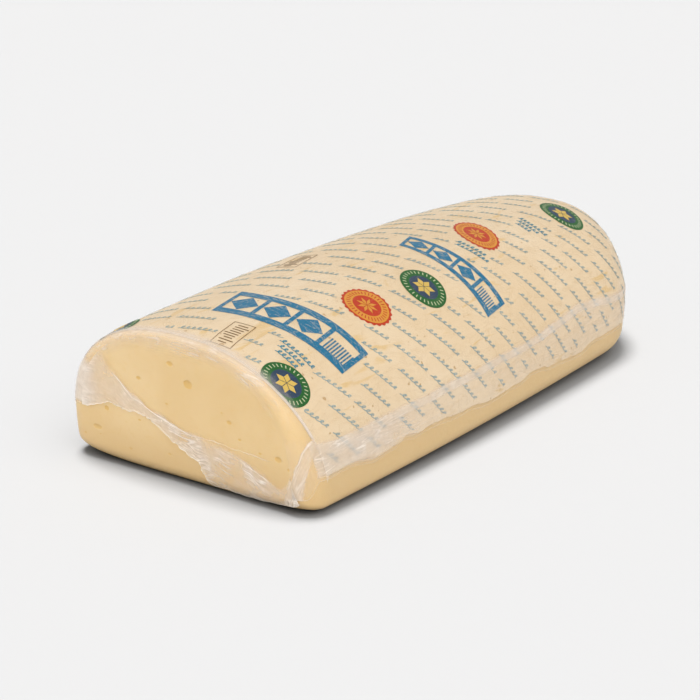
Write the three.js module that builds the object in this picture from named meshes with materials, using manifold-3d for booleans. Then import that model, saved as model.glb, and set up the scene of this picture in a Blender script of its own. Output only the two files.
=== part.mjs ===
// Half a loaf of provolone cheese: the cheese itself, the printed casing on its skin and the
// clear film that was wrapped over the cut. Units are millimetres.
//
// The loaf rests on its flat side. Y runs along it, from the cut face at -Y to the domed end at
// +Y, X runs across it, and Z is up. The origin is under the middle of the box round all three.
//
// Every piece follows one skin. At a station along the loaf the skin is a closed outline in X and
// Z: a superellipse above the widest line, and a squarer one below it, where the loaf has settled
// on its base. "turn" is the angle round that outline, from 0 on the right, over a quarter turn at
// the crown, to a half turn on the left. "lift" is a distance out from the skin, so that the
// casing and the film lie on the cheese as layers.

import * as THREE from "three";
import { mergeVertices } from "three/addons/utils/BufferGeometryUtils.js";
import Module from "manifold-3d";

// The loaf: half widths and heights at the cut, half way along and at the far end.
const LOAF_LENGTH = 330;
const HALF_WIDTH = { cut: 74.4, middle: 73.5, end: 62.3 };
const HEIGHT = { cut: 75.3, middle: 80.5, end: 73.4 };
const WIDEST_LEVEL = { cut: 8.7, end: 23.7 }; // height of the widest line above the base
const CROWN_POWER = 2.33; // 2 is an ellipse, more is squarer
const BASE_POWER = 4.2;
const BASE_SETTLE = 0.8; // how far the rounded base is pressed flat
const DOME_LENGTH = 62;
const DOME_POWER_ACROSS = 2.1;
const DOME_POWER_UP = 4;

// The cut face: flat, leaning out a little, with a softened rim.
const RIM_RADIUS = { crown: 2.8, side: 11.3 };
const RIM_LIFT_AT_BASE = 8.2; // the rim rounds up this far from the base
const CUT_LEAN = -6.7; // degrees, the top towards -Y
const CUT_FADE = 150; // length over which the lean dies out

// The layers, as lifts from the skin of the cheese.
const CASING_LIFT = { inside: 0.5, outside: 0.9 };
const FILM_LIFT = { inside: 1.4, outside: 1.8 };
const FILM_GATHER = { thickness: 0.6, share: 0.1 }; // bunched along its edges

// Heights above the base of the film's lower edge, on each side at the cut and along the loaf,
// and round the tip of the dome.
const FILM_EDGE = {
  right: { cut: 7.6, along: 17.5 },
  left: { cut: 30, along: 22 },
  tip: 27,
};
const EDGE_RUN_IN = 8; // length over which the edge leaves the cut
const EDGE_RISE_LENGTH = 45; // length before the tip over which it rises
const EDGE_WAVES = [
  { height: 1.1, length: 83, phase: 0.4 },
  { height: 0.6, length: 31, phase: 2.1 },
];
const CASING_EDGE_RISE = 3; // the casing ends above the film

// The film's torn lower edge over the cut face: along the base, then up to the left.
const TEAR_CORNERS = [
  { across: 15, up: 8.6 },
  { across: 7, up: 15.5 },
  { across: -18, up: 29.5 },
];
const TEAR_STEP_IN = 5;
const TEAR_WAVES = { height: 1.1, count: 6 };

// Eyes, the small round holes that the cut has opened.
const EYE_DEPTH_SHARE = 0.6;
const EYES = [
  { across: -3, up: 61, radius: 1.5 },
  { across: -24, up: 49.5, radius: 1.2 },
  { across: 7, up: 52.5, radius: 2.5 },
  { across: -47, up: 28.5, radius: 1.5 },
  { across: -54, up: 17.5, radius: 1.9 },
  { across: -34, up: 11, radius: 1 },
  { across: -9, up: 14, radius: 1 },
  { across: 29, up: 39, radius: 1.3 },
  { across: 35, up: 31.5, radius: 1 },
  { across: 46, up: 27, radius: 1 },
  { across: 56, up: 26.5, radius: 1.8 },
];

// Meshing.
const COLUMNS = 56;
const SHEET_COLUMNS = 36;
const RIM_ROWS = 4;
const BODY_ROWS = 13;
const DOME_ROWS = 13;
const TEAR_ROWS = 5;
const EYE_SEGMENTS = 10;

const QUARTER = Math.PI / 2;

const clamp01 = (t) => Math.min(Math.max(t, 0), 1);
const mix = (a, b, t) => a + (b - a) * t;
const ease = (t) => clamp01(t) ** 2 * (3 - 2 * clamp01(t));
const signedPower = (t, power) => Math.sign(t) * Math.abs(t) ** power;
const steps = (count) => Array.from({ length: count }, (_, i) => i);

// ---- The skin ----

// A size that changes smoothly from the cut over the middle to the far end.
function alongLoaf({ cut, middle, end }, along) {
  const t = clamp01(along / LOAF_LENGTH);
  return cut * (1 - t) * (1 - 2 * t) + middle * 4 * t * (1 - t) + end * t * (2 * t - 1);
}

const widestLevel = (along) => mix(WIDEST_LEVEL.cut, WIDEST_LEVEL.end, along / LOAF_LENGTH);
const closing = (reach, power) => (1 - clamp01(reach) ** power) ** (1 / power);

const rimRadius = (turn) => mix(RIM_RADIUS.side, RIM_RADIUS.crown, ease(Math.sin(turn)));

// A station is a place along the loaf. roll turns from 0 on the skin to a quarter on the cut
// face, and reach goes from 0 at the start of the dome to 1 at its tip.
const rimStation = (roll) => ({ along: 0, onRim: 1, roll, reach: 0 });
const bodyStation = (along) => ({ along, onRim: 0, roll: 0, reach: 0 });
const domeStation = (reach) => ({
  along: LOAF_LENGTH - DOME_LENGTH * (1 - reach),
  onRim: 0,
  roll: 0,
  reach,
});

const rimStations = steps(RIM_ROWS + 1).map((i) => rimStation(QUARTER * (1 - i / RIM_ROWS)));
const bodyStations = steps(BODY_ROWS).map((i) =>
  bodyStation(mix(RIM_RADIUS.side, LOAF_LENGTH - DOME_LENGTH, (i + 1) / BODY_ROWS)),
);
const domeStations = [
  ...steps(DOME_ROWS).map((i) =>
    domeStation(1 - (1 - Math.sin((QUARTER * (i + 1)) / (DOME_ROWS + 1))) ** 1.25),
  ),
  domeStation(0.9998),
];

// The outline's half width, and how far it rises above and falls below the widest line.
function outlineAt({ along, roll, reach }, turn, lift) {
  const growth = (radius) => lift * Math.cos(roll) - radius * (1 - Math.cos(roll));
  const level = widestLevel(along);
  const skirt = growth(rimRadius(turn));
  return {
    level,
    across: (alongLoaf(HALF_WIDTH, along) + skirt) * closing(reach, DOME_POWER_ACROSS),
    rise: (alongLoaf(HEIGHT, along) - level + skirt) * closing(reach, DOME_POWER_UP),
    fall: (level + BASE_SETTLE + growth(RIM_LIFT_AT_BASE)) * closing(reach, DOME_POWER_UP),
  };
}

// How far the cut face, and the skin near it, stand off from a plane square to the loaf.
const cutShift = (along, z) =>
  z * Math.tan(THREE.MathUtils.degToRad(CUT_LEAN)) * (1 - clamp01(along / CUT_FADE));

// How far in from the plane of the cut a point of the skin lies.
const inFromCut = ({ along, onRim, roll }, turn) =>
  along + onRim * rimRadius(turn) * (1 - Math.sin(roll));

function skinPoint(station, turn, lift = 0) {
  const { level, across, rise, fall } = outlineAt(station, turn, lift);
  const above = Math.sin(turn) >= 0;
  const power = 2 / (above ? CROWN_POWER : BASE_POWER);
  const x = across * signedPower(Math.cos(turn), power);
  const climb = (above ? rise : fall) * signedPower(Math.sin(turn), power);
  const z = Math.max(level + climb, 0);
  const along = inFromCut(station, turn) + lift * (station.reach - Math.sin(station.roll));
  return new THREE.Vector3(x, along + cutShift(along, z), z);
}

const facePoint = (x, z, lift = 0) => new THREE.Vector3(x, cutShift(0, z) - lift, z);

// ---- The cheese ----

// Two triangles between four corners.
const quad = (a, b, c, d) => [a, b, c, a, c, d];

function geometryOf(points, triangles) {
  const geometry = new THREE.BufferGeometry().setFromPoints(points);
  geometry.setIndex(triangles);
  return geometry;
}

// Rings from the cut face over the rim and along the body to the tip of the dome.
function loafGeometry() {
  const rings = [...rimStations, ...bodyStations, ...domeStations];
  const turns = steps(COLUMNS).map((i) => (i / COLUMNS) * 4 * QUARTER);
  const points = rings.flatMap((station) => turns.map((turn) => skinPoint(station, turn)));
  const face = points.push(facePoint(0, HEIGHT.cut / 2)) - 1;
  const tip = points.push(skinPoint(domeStation(1), 0)) - 1;
  const last = (rings.length - 1) * COLUMNS;
  const triangles = steps(COLUMNS).flatMap((i) => {
    const j = (i + 1) % COLUMNS;
    const side = steps(rings.length - 1).flatMap((ring) => {
      const here = ring * COLUMNS;
      const next = here + COLUMNS;
      return quad(here + i, next + i, next + j, here + j);
    });
    return [face, i, j, tip, last + j, last + i, ...side];
  });
  return geometryOf(points, triangles);
}

function eyeGeometry({ across, up, radius }) {
  const eye = new THREE.SphereGeometry(radius, EYE_SEGMENTS, EYE_SEGMENTS / 2);
  const { y } = facePoint(across, up);
  return eye.scale(1, EYE_DEPTH_SHARE, 1).translate(across, y, up);
}

// ---- The casing and the film ----

// Height of the film's lower edge above the base at a place along one side.
function edgeHeight({ cut, along }, place) {
  const level = mix(cut, along, ease(place / EDGE_RUN_IN));
  const toTip = ease((place - LOAF_LENGTH + EDGE_RISE_LENGTH) / EDGE_RISE_LENGTH);
  const wave = EDGE_WAVES.reduce(
    (sum, { height, length, phase }) =>
      sum + height * Math.sin((place / length) * 4 * QUARTER + phase),
    0,
  );
  return mix(level, FILM_EDGE.tip, toTip) + wave * ease(place / EDGE_WAVES[0].length);
}

// The turn, on the right, at which the skin of a station stands at a height above the base.
function turnAtHeight(station, height, lift) {
  const { level, rise, fall } = outlineAt(station, 0, lift);
  const above = height >= level;
  const share = (height - level) / (above ? rise : fall);
  const power = (above ? CROWN_POWER : BASE_POWER) / 2;
  return Math.asin(Math.max(Math.min(signedPower(share, power), 1), -1));
}

// Shares of the way over the loaf from one edge to the other, closer together at the edges.
const sheetShares = steps(SHEET_COLUMNS + 1).map((i) => {
  const share = i / SHEET_COLUMNS;
  return share - (0.45 * Math.sin(share * 4 * QUARTER)) / (4 * QUARTER);
});

// One row of points over the loaf, from the right edge to the left one.
function rowAcross(station, edgeRise, liftAt) {
  const edgeLift = liftAt(0);
  const place = inFromCut(station, 0);
  const turnOn = (side) => turnAtHeight(station, edgeHeight(side, place) + edgeRise, edgeLift);
  const right = turnOn(FILM_EDGE.right);
  const left = 2 * QUARTER - turnOn(FILM_EDGE.left);
  return sheetShares.map((share) => skinPoint(station, mix(right, left, share), liftAt(share)));
}

// A closed shell between an outer and an inner surface, each given as rows of points.
function shellGeometry(outer, inner) {
  const rows = outer.length;
  const columns = outer[0].length;
  const out = (row, i) => row * columns + i;
  const within = (row, i) => rows * columns + out(row, i);
  const surfaces = steps(rows - 1).flatMap((row) =>
    steps(columns - 1).flatMap((i) => [
      ...quad(out(row, i), out(row + 1, i), out(row + 1, i + 1), out(row, i + 1)),
      ...quad(within(row, i), within(row, i + 1), within(row + 1, i + 1), within(row + 1, i)),
    ]),
  );
  const ends = steps(columns - 1).flatMap((i) => [
    ...quad(out(0, i), out(0, i + 1), within(0, i + 1), within(0, i)),
    ...quad(out(rows - 1, i + 1), out(rows - 1, i), within(rows - 1, i), within(rows - 1, i + 1)),
  ]);
  const sides = steps(rows - 1).flatMap((row) => [
    ...quad(out(row + 1, 0), out(row, 0), within(row, 0), within(row + 1, 0)),
    ...quad(
      out(row, columns - 1),
      out(row + 1, columns - 1),
      within(row + 1, columns - 1),
      within(row, columns - 1),
    ),
  ]);
  return geometryOf([...outer, ...inner].flat(), [...surfaces, ...ends, ...sides]);
}

// The casing covers the skin from the rim of the cut to the dome.
function casingGeometry() {
  const stations = [rimStations.at(-1), ...bodyStations, ...domeStations.slice(0, -1)];
  const surface = (lift) =>
    stations.map((station) => rowAcross(station, CASING_EDGE_RISE, () => lift));
  return shellGeometry(surface(CASING_LIFT.outside), surface(CASING_LIFT.inside));
}

// The film's rows over the cut face, from its torn edge up to the rim.
function tearRows(rimRow, lift) {
  const ends = [rimRow[0], rimRow.at(-1)];
  const corners = [
    { across: ends[0].x - TEAR_STEP_IN, up: ends[0].z },
    ...TEAR_CORNERS,
    { across: ends[1].x + TEAR_STEP_IN, up: ends[1].z },
  ];
  const edge = new THREE.CatmullRomCurve3(
    corners.map(({ across, up }) => new THREE.Vector3(across, 0, up)),
    false,
    "centripetal",
  );
  const torn = sheetShares.map((share) => {
    const { x, z } = edge.getPointAt(share);
    const wave = TEAR_WAVES.height * Math.sin(share * TEAR_WAVES.count * 4 * QUARTER);
    return facePoint(x, z + wave * Math.sin(share * 2 * QUARTER), lift);
  });
  return steps(TEAR_ROWS).map((row) =>
    torn.map((point, i) => point.clone().lerp(rimRow[i], row / TEAR_ROWS)),
  );
}

// The film wraps the cut face above its torn edge, the rim, and the casing down to its hem.
function filmGeometry() {
  const stations = [...rimStations, ...bodyStations, ...domeStations];
  const surface = (lift, gather) => {
    const liftAt = (share) =>
      lift + gather * (1 - ease(Math.min(share, 1 - share) / FILM_GATHER.share));
    const rows = stations.map((station) => rowAcross(station, 0, liftAt));
    return [...tearRows(rows[0], lift), ...rows];
  };
  return shellGeometry(surface(FILM_LIFT.outside, FILM_GATHER.thickness), surface(FILM_LIFT.inside, 0));
}

// ---- Booleans ----

const wasm = await Module();
wasm.setup();
const { Manifold, Mesh } = wasm;

function solidOf(geometry) {
  const bare = new THREE.BufferGeometry();
  bare.setAttribute("position", geometry.getAttribute("position"));
  bare.setIndex(geometry.getIndex());
  const merged = mergeVertices(bare, 1e-4);
  return new Manifold(
    new Mesh({
      numProp: 3,
      vertProperties: new Float32Array(merged.getAttribute("position").array),
      triVerts: new Uint32Array(merged.getIndex().array),
    }),
  );
}

function geometryFrom(solid) {
  const mesh = solid.getMesh();
  const geometry = new THREE.BufferGeometry();
  geometry.setAttribute("position", new THREE.BufferAttribute(mesh.vertProperties, 3));
  geometry.setIndex(new THREE.BufferAttribute(mesh.triVerts, 1));
  return geometry;
}

function cheeseGeometry() {
  const eyes = EYES.map((eye) => solidOf(eyeGeometry(eye)));
  return geometryFrom(solidOf(loafGeometry()).subtract(Manifold.union(eyes)));
}

// ---- The parts ----

const MATERIALS = {
  cheese: new THREE.MeshStandardMaterial({ name: "cheese", color: 0xe6cb9a, roughness: 0.6 }),
  casing: new THREE.MeshStandardMaterial({ name: "casing", color: 0xe4ceaf, roughness: 0.5 }),
  film: new THREE.MeshStandardMaterial({
    name: "film",
    color: 0xf4efe6,
    roughness: 0.2,
    transparent: true,
    opacity: 0.3,
  }),
};

const geometries = {
  cheese: cheeseGeometry(),
  casing: casingGeometry(),
  film: filmGeometry(),
};

const loaf = new THREE.Group();
loaf.name = "provolone_half_loaf";
for (const [name, geometry] of Object.entries(geometries)) {
  const mesh = new THREE.Mesh(geometry, MATERIALS[name]);
  mesh.name = name;
  loaf.add(mesh);
}

const box = new THREE.Box3().setFromObject(loaf);
const middle = box.getCenter(new THREE.Vector3());
for (const geometry of Object.values(geometries)) {
  geometry.translate(-middle.x, -middle.y, -box.min.z);
  geometry.computeVertexNormals();
}

export default loaf;
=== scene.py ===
"""Half a loaf of provolone cheese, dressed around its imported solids.

The paste, the printed casing and the clear film each replace their solid. All three, and the print
on the casing, are laid on one skin, the Skin class, which repeats the loaf's driving dimensions in
millimetres. The finished meshes are in metres, in the frame's own place.
"""

import logging
import math
from dataclasses import dataclass, field
from enum import Enum
from typing import Callable, Optional, Protocol, Sequence

import bpy
import numpy as np
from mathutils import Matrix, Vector
from mathutils.bvhtree import BVHTree


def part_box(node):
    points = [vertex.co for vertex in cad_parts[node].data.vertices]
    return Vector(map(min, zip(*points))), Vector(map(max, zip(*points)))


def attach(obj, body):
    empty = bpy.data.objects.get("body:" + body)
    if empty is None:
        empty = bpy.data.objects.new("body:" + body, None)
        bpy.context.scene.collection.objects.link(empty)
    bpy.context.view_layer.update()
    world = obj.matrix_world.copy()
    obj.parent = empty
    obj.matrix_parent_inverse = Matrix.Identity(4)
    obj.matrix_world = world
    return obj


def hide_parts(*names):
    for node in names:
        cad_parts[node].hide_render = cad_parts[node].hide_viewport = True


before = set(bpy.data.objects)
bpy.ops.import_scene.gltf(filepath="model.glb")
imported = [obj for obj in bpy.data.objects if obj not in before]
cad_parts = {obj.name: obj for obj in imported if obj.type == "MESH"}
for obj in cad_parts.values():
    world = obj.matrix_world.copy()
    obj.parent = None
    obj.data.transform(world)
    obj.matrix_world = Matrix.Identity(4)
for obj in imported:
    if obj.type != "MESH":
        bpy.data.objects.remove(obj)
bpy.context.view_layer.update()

BODY = "root"
MM = 0.001
QUARTER, HALF, FULL = math.pi / 2, math.pi, 2 * math.pi
# The radius, in millimetres, by which a turn is counted as a distance round the loaf.
GIRTH_RADIUS = 70.0
# A distance from a line at which nothing of it shows, in millimetres.
FAR_OFF = -9.0
LOG = logging.getLogger("provolone")

Array = np.ndarray
Triple = tuple[float, float, float]
Colour = Triple
Line = tuple[tuple[float, float], ...]
Piece = bpy.types.Object
Veil = dict[str, Array]
Placing = Callable[[Array], Array]
Block = Callable[[Array, Array], Array]


class Slot(Enum):
    """The material slots."""

    CHEESE = "cheese"
    CASING = "casing"
    FILM = "film"


class Side(Enum):
    """The two long sides of the loaf, right at +X and left at -X."""

    RIGHT = 1
    LEFT = -1


# ---- Small sums ----


def blend(a: Array, b: Array, share: Array) -> Array:
    """Goes from a to b as share goes from 0 to 1."""
    return a + (b - a) * share


def eased(share: Array) -> Array:
    """A share held between 0 and 1 that starts and ends gently."""
    held = np.clip(share, 0.0, 1.0)
    return held * held * (3.0 - 2.0 * held)


def rising(value: Array, start: float, end: float) -> Array:
    """0 up to start, then gently up to 1 at end."""
    return eased((value - start) / (end - start))


def falling(value: Array, start: float, end: float) -> Array:
    """1 up to start, then gently down to 0 at end."""
    return eased((end - value) / (end - start))


def signed_power(value: Array, power: Array) -> Array:
    """Raises a value's size to a power and keeps its sign."""
    return np.sign(value) * np.abs(value) ** power


def hump(distance: Array, width: Array) -> Array:
    """1 at no distance, falling softly to 0 over a few widths."""
    return np.exp(-((distance / width) ** 2))


def level_of(line: Line, place: Array) -> Array:
    """The level of a line of corners, each a place and its level, at a place."""
    return np.interp(place, *zip(*line))


def turned(points: Array, angle: float) -> Array:
    """Flat points turned about their origin by an angle."""
    c, s = math.cos(angle), math.sin(angle)
    return points @ np.array([[c, s], [-s, c]])


def srgb(red: int, green: int, blue: int) -> Colour:
    """A display colour as linear light.

    Args:
        red: Its red, from 0 to 255.
        green: Its green.
        blue: Its blue.

    Returns:
        The colour, from 0 to 1.
    """
    return tuple(
        c / 12.92 if c <= 0.04045 else ((c + 0.055) / 1.055) ** 2.4
        for c in (red / 255, green / 255, blue / 255)
    )


@dataclass(frozen=True)
class Unevenness:
    """Smooth two-dimensional noise between -1 and 1, the same on every run."""

    seed: int
    cells: int = 256

    def __call__(self, u: Array, v: Array) -> Array:
        """One octave.

        Args:
            u: Places one way, in cells of one unit.
            v: Places the other way.

        Returns:
            The noise at each place.
        """
        table = np.random.default_rng(self.seed).uniform(-1, 1, (self.cells, self.cells))
        low_u, low_v = np.floor(u).astype(int), np.floor(v).astype(int)
        share_u, share_v = eased(u - low_u), eased(v - low_v)

        def corner(du: int, dv: int) -> Array:
            """The table's number at one corner of each place's cell."""
            return table[(low_u + du) % self.cells, (low_v + dv) % self.cells]

        near = blend(corner(0, 0), corner(1, 0), share_u)
        far = blend(corner(0, 1), corner(1, 1), share_u)
        return blend(near, far, share_v)

    def rough(self, u: Array, v: Array, octaves: int = 3) -> Array:
        """Several octaves, each half as high and twice as fine."""
        return sum(self(u * 2**i + 7.3 * i, v * 2**i + 3.1 * i) / 2**i for i in range(octaves))

    def creases(self, u: Array, v: Array) -> Array:
        """Ridges, 1 along each crease and near 0 away from them."""
        return (1.0 - np.minimum(np.abs(self.rough(u, v)) * 2.6, 1.0)) ** 2


# ---- The skin ----


@dataclass(frozen=True)
class Skin:
    """The loaf's skin, in millimetres, with y = 0 on the plane of the cut.

    A place on it is given by turn, the angle round the outline from 0 on the right over a quarter
    at the crown, and by along, the distance from the cut. roll is 0 on the skin and a quarter on
    the cut face, and lift is a distance out from the skin.
    """

    length: float = 330.0
    half_width: Triple = (74.4, 73.5, 62.3)
    height: Triple = (75.3, 80.5, 73.4)
    widest_level: tuple[float, float] = (8.7, 23.7)
    crown_power: float = 2.33
    base_power: float = 4.2
    # The left side, as far as the middle, is a little rounder at its foot.
    left_rounder: float = 4.6
    left_crown_power: float = 2.2
    base_settle: float = 0.8
    dome_length: float = 62.0
    dome_power_across: float = 2.1
    dome_power_up: float = 4.0
    rim_at_crown: float = 2.8
    rim_at_side: float = 11.3
    rim_lift_at_base: float = 8.2
    cut_lean: float = math.tan(math.radians(-6.7))
    cut_fade: float = 150.0
    lump_height: float = 0.28
    girth_reach: float = 140.0

    def __post_init__(self) -> None:
        """Finds where the frame has its origin, and tables the turns by girth."""
        low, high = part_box("cheese")
        shift = ((low.x + high.x) / 2 / MM, self.length - high.y / MM)
        object.__setattr__(self, "shift", shift)
        object.__setattr__(self, "girth_table", self._table())

    @property
    def dome_start(self) -> float:
        """Distance from the cut to the start of the dome."""
        return self.length - self.dome_length

    def _along(self, sizes: Triple, along: Array) -> Array:
        """A size that is given at the cut, the middle and the end, at distances along."""
        t = np.clip(along / self.length, 0, 1)
        cut, middle, end = sizes
        return cut * (1 - t) * (1 - 2 * t) + middle * 4 * t * (1 - t) + end * t * (2 * t - 1)

    def rim(self, turn: Array) -> Array:
        """Radius of the rim of the cut at a turn."""
        return blend(self.rim_at_side, self.rim_at_crown, eased(np.sin(turn)))

    def reach(self, along: Array) -> Array:
        """Share of the way from the start of the dome to its tip."""
        return np.clip(1 - (self.length - along) / self.dome_length, 0, 1)

    def along_dome(self, share: Array, covered: float = 1.0, tip: float = 1.0) -> Array:
        """Distance from the cut at a share of the dome's rows, which lie closer near its tip.

        Args:
            share: Share of the rows, held between 0 and 1.
            covered: How much of a quarter turn the rows cover.
            tip: How much of the way to the tip the last row comes.

        Returns:
            Distances in millimetres.
        """
        reach = np.sin(QUARTER * covered * np.clip(share, 0, 1))
        return self.length - self.dome_length * (1 - (1 - (1 - reach) ** 1.2) * tip)

    def outline(self, along: Array, turn: Array, lift: Array, roll: Array) -> tuple[Array, ...]:
        """The widest level, and the outline's half width, rise and fall from it.

        Args:
            along: Distance from the cut; the rim's rolls take 0 here.
            turn: Angle round the outline.
            lift: Distance out from the skin.
            roll: 0 on the skin to a quarter turn on the cut face.

        Returns:
            Level, half width, rise and fall, in millimetres.
        """
        level = blend(*self.widest_level, np.clip(along / self.length, 0, 1))
        level = level + self.left_rounder * self.on_left(along, turn)
        bevel = 1 - np.cos(roll)
        skirt = lift * np.cos(roll) - self.rim(turn) * bevel
        reach = self.reach(along)
        narrow = (1 - reach**self.dome_power_across) ** (1 / self.dome_power_across)
        low = (1 - reach**self.dome_power_up) ** (1 / self.dome_power_up)
        fall = level + self.base_settle + lift * np.cos(roll) - self.rim_lift_at_base * bevel
        return (
            level,
            (self._along(self.half_width, along) + skirt) * narrow,
            (self._along(self.height, along) - level + skirt) * low,
            fall * low,
        )

    def on_left(self, along: Array, turn: Array) -> Array:
        """1 on the left side at the cut, falling to 0 at the middle of the loaf."""
        return (np.cos(turn) < 0) * (1 - eased(2 * along / self.length))

    def powers(self, along: Array, turn: Array) -> Array:
        """The power of the outline above its widest level or below it."""
        crown = blend(self.crown_power, self.left_crown_power, self.on_left(along, turn))
        return np.where(np.sin(turn) >= 0, crown, self.base_power)

    def lumps(self, along: Array, turn: Array) -> Array:
        """Shallow unevenness that all the layers share."""
        slow = np.sin(along / 41 + 2.2 * np.cos(turn)) * np.cos(along / 67 - 2.6 * turn)
        both = slow + 0.5 * np.sin(along / 19 + 3.7 * turn)
        return self.lump_height * both * eased(np.sin(turn) * 2)

    def points(self, along: Array, turn: Array, lift: Array = 0.0, roll: Array = 0.0) -> Array:
        """Points of the skin in millimetres, before the frame's shift.

        Args:
            along: Distance from the cut, and 0 wherever roll is above 0.
            turn: Angle round the outline.
            lift: Distance out from the skin.
            roll: 0 on the skin to a quarter turn on the cut face.

        Returns:
            An array of points, one row each.
        """
        along, turn, lift, roll = np.broadcast_arrays(along, turn, lift, roll)
        rolled = np.sin(roll)
        in_body = rising(along, self.rim_at_side, self.rim_at_side + 30)
        in_body = in_body * (1 - self.reach(along))
        lift_here = lift + self.lumps(along, turn) * in_body
        level, across, rise, fall = self.outline(along, turn, lift_here, roll)
        above = np.sin(turn) >= 0
        power = 2 / self.powers(along, turn)
        x = across * signed_power(np.cos(turn), power)
        climb = np.where(above, rise, fall) * signed_power(np.sin(turn), power)
        z = np.maximum(level + climb, 0.0)
        y = along + lift_here * (self.reach(along) - rolled)
        y = y + np.where(roll > 0, self.rim(turn) * (1 - rolled), 0.0)
        return np.stack([x, y + self.lean_shift(y, z), z], -1)

    def lean_shift(self, along: Array, z: Array) -> Array:
        """How far the leaning cut pushes the skin along."""
        return z * self.cut_lean * (1 - np.clip(along / self.cut_fade, 0, 1))

    def in_frame(self, points: Array) -> Array:
        """Moves points from millimetres at the cut to metres in the frame."""
        return (points - np.array([*self.shift, 0.0])) * MM

    def from_frame(self, points: Array) -> Array:
        """Moves points from metres in the frame to millimetres at the cut."""
        return points / MM + np.array([*self.shift, 0.0])

    def turn_at_height(
        self, side: Side, along: Array, height: Array, lift: Array, roll: Array
    ) -> Array:
        """The turn at which one side of the skin stands at a height above the base.

        Args:
            side: Which long side.
            along: Distance from the cut.
            height: Height above the base.
            lift: Distance out from the skin.
            roll: 0 on the skin to a quarter turn on the cut face.

        Returns:
            Turns, counted upwards from that side's widest level.
        """
        level_turn = along * 0 + (0.0 if side is Side.RIGHT else HALF)
        level, _, rise, fall = self.outline(along, level_turn, lift, roll)
        above = height >= level
        share = (height - level) / np.where(above, rise, np.maximum(fall, 0.5))
        climbing = level_turn + np.where(above, 0.01, -0.01) * side.value
        power = self.powers(along, climbing) / 2
        return np.arcsin(np.clip(signed_power(share, power), -1, 1))

    def _table(self) -> tuple[Array, Array, Array]:
        """Tables the turn by distance along and girth, just outside the skin.

        Returns:
            The distances along, the girths, and the turn at each pair of them.
        """
        stations = np.linspace(0, self.length - 6, 66)
        girths = np.linspace(-self.girth_reach, self.girth_reach, 281)
        turns = np.linspace(-0.35, HALF + 0.35, 901)
        rows = []
        for along in stations:
            points = self.points(np.full_like(turns, along), turns, 1.2)
            steps = np.hypot(np.diff(points[:, 0]), np.diff(points[:, 2]))
            run = np.concatenate([[0], np.cumsum(steps)])
            girth = np.interp(QUARTER, turns, run) - run
            rows.append(np.interp(girths, girth[::-1], turns[::-1]))
        return stations, girths, np.array(rows)

    def turn_at_girth(self, girth: Array, along: Array) -> Array:
        """The turn that lies a distance round the skin from the crown.

        Args:
            girth: Distance round the skin, + to the right.
            along: Distance from the cut.

        Returns:
            Turns, read from the table.
        """
        stations, girths, table = self.girth_table
        i = np.clip(along / stations[-1] * (len(stations) - 1), 0, len(stations) - 1.001)
        j = (girth + self.girth_reach) / (girths[1] - girths[0])
        j = np.clip(j, 0, len(girths) - 1.001)
        i0, j0 = i.astype(int), j.astype(int)
        near = blend(table[i0, j0], table[i0, j0 + 1], j - j0)
        far = blend(table[i0 + 1, j0], table[i0 + 1, j0 + 1], j - j0)
        return blend(near, far, i - i0)


@dataclass(frozen=True)
class Hem:
    """The lower edge of the film, and how the layers settle on the paste above it."""

    skin: Skin
    at_cut: dict[Side, float] = field(default_factory=lambda: {Side.RIGHT: 8.8, Side.LEFT: 27.4})
    along_loaf: dict[Side, float] = field(
        default_factory=lambda: {Side.RIGHT: 17.5, Side.LEFT: 22.0}
    )
    at_tip: float = 27.0
    # Between these distances it goes from its height at the cut to that along the loaf.
    run_in: tuple[float, float] = (1.5, 7.7)
    rise_length: float = 45.0
    # Each wave's height, length and start.
    waves: tuple[Triple, ...] = ((1.1, 83.0, 0.4), (0.4, 31.0, 2.1))
    ragged: float = 0.7
    ruck_at: float = 68.0
    ruck_width: float = 6.0
    ruck_height: float = 2.6
    casing_rise: float = 1.6
    # Lift of the casing's outer face at the rim, by the hem, and between the two.
    lift_at_rim: float = 0.12
    lift_at_hem: float = 0.35
    lift_between: float = 1.1
    settle_height: float = 22.0
    torn: Unevenness = Unevenness(5)

    def height(self, side: Side, along: Array) -> Array:
        """Height of the film's edge above the base.

        Args:
            side: Which long side.
            along: Distance from the cut, or how far the rim has come from it.

        Returns:
            Heights in millimetres.
        """
        level = blend(self.at_cut[side], self.along_loaf[side], rising(along, *self.run_in))
        uneven = self.ragged * self.torn.rough(along / 9, along * 0 + side.value * 5.5)
        for height, length, start in self.waves:
            uneven = uneven + height * np.sin(along / length * FULL + start)
        if side is Side.RIGHT:
            uneven = uneven + self.ruck_height * hump(along - self.ruck_at, self.ruck_width)
        to_tip = rising(along, self.skin.length - self.rise_length, self.skin.length)
        free = rising(along, 0, 25) * (1 - to_tip)
        return blend(level, self.at_tip, to_tip) + uneven * free

    def above(self, points: Array, along: Array) -> Array:
        """How far points stand above the edge on their own side."""
        right = self.height(Side.RIGHT, along)
        left = self.height(Side.LEFT, along)
        return points[..., 2] - np.where(points[..., 0] > 0, right, left)

    def casing_lift(self, along: Array, turn: Array) -> Array:
        """Lift of the casing's outer face: close at its edges and fuller between them."""
        above = self.above(self.skin.points(along, turn), along)
        lift = blend(self.lift_at_hem, self.lift_between, eased(above / self.settle_height))
        return blend(self.lift_at_rim, lift, rising(along - self.skin.rim(turn), -1, 11))


# ---- Meshes ----


def only(piece: Piece) -> Piece:
    """Makes a piece the only one selected, and active.

    Args:
        piece: The piece.

    Returns:
        The same piece.
    """
    bpy.ops.object.select_all(action="DESELECT")
    piece.select_set(True)
    bpy.context.view_layer.objects.active = piece
    return piece


def newest(name: str) -> Piece:
    """Names the primitive that was just added, and selects it alone."""
    piece = bpy.context.active_object
    piece.name = piece.data.name = name
    return only(piece)


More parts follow.
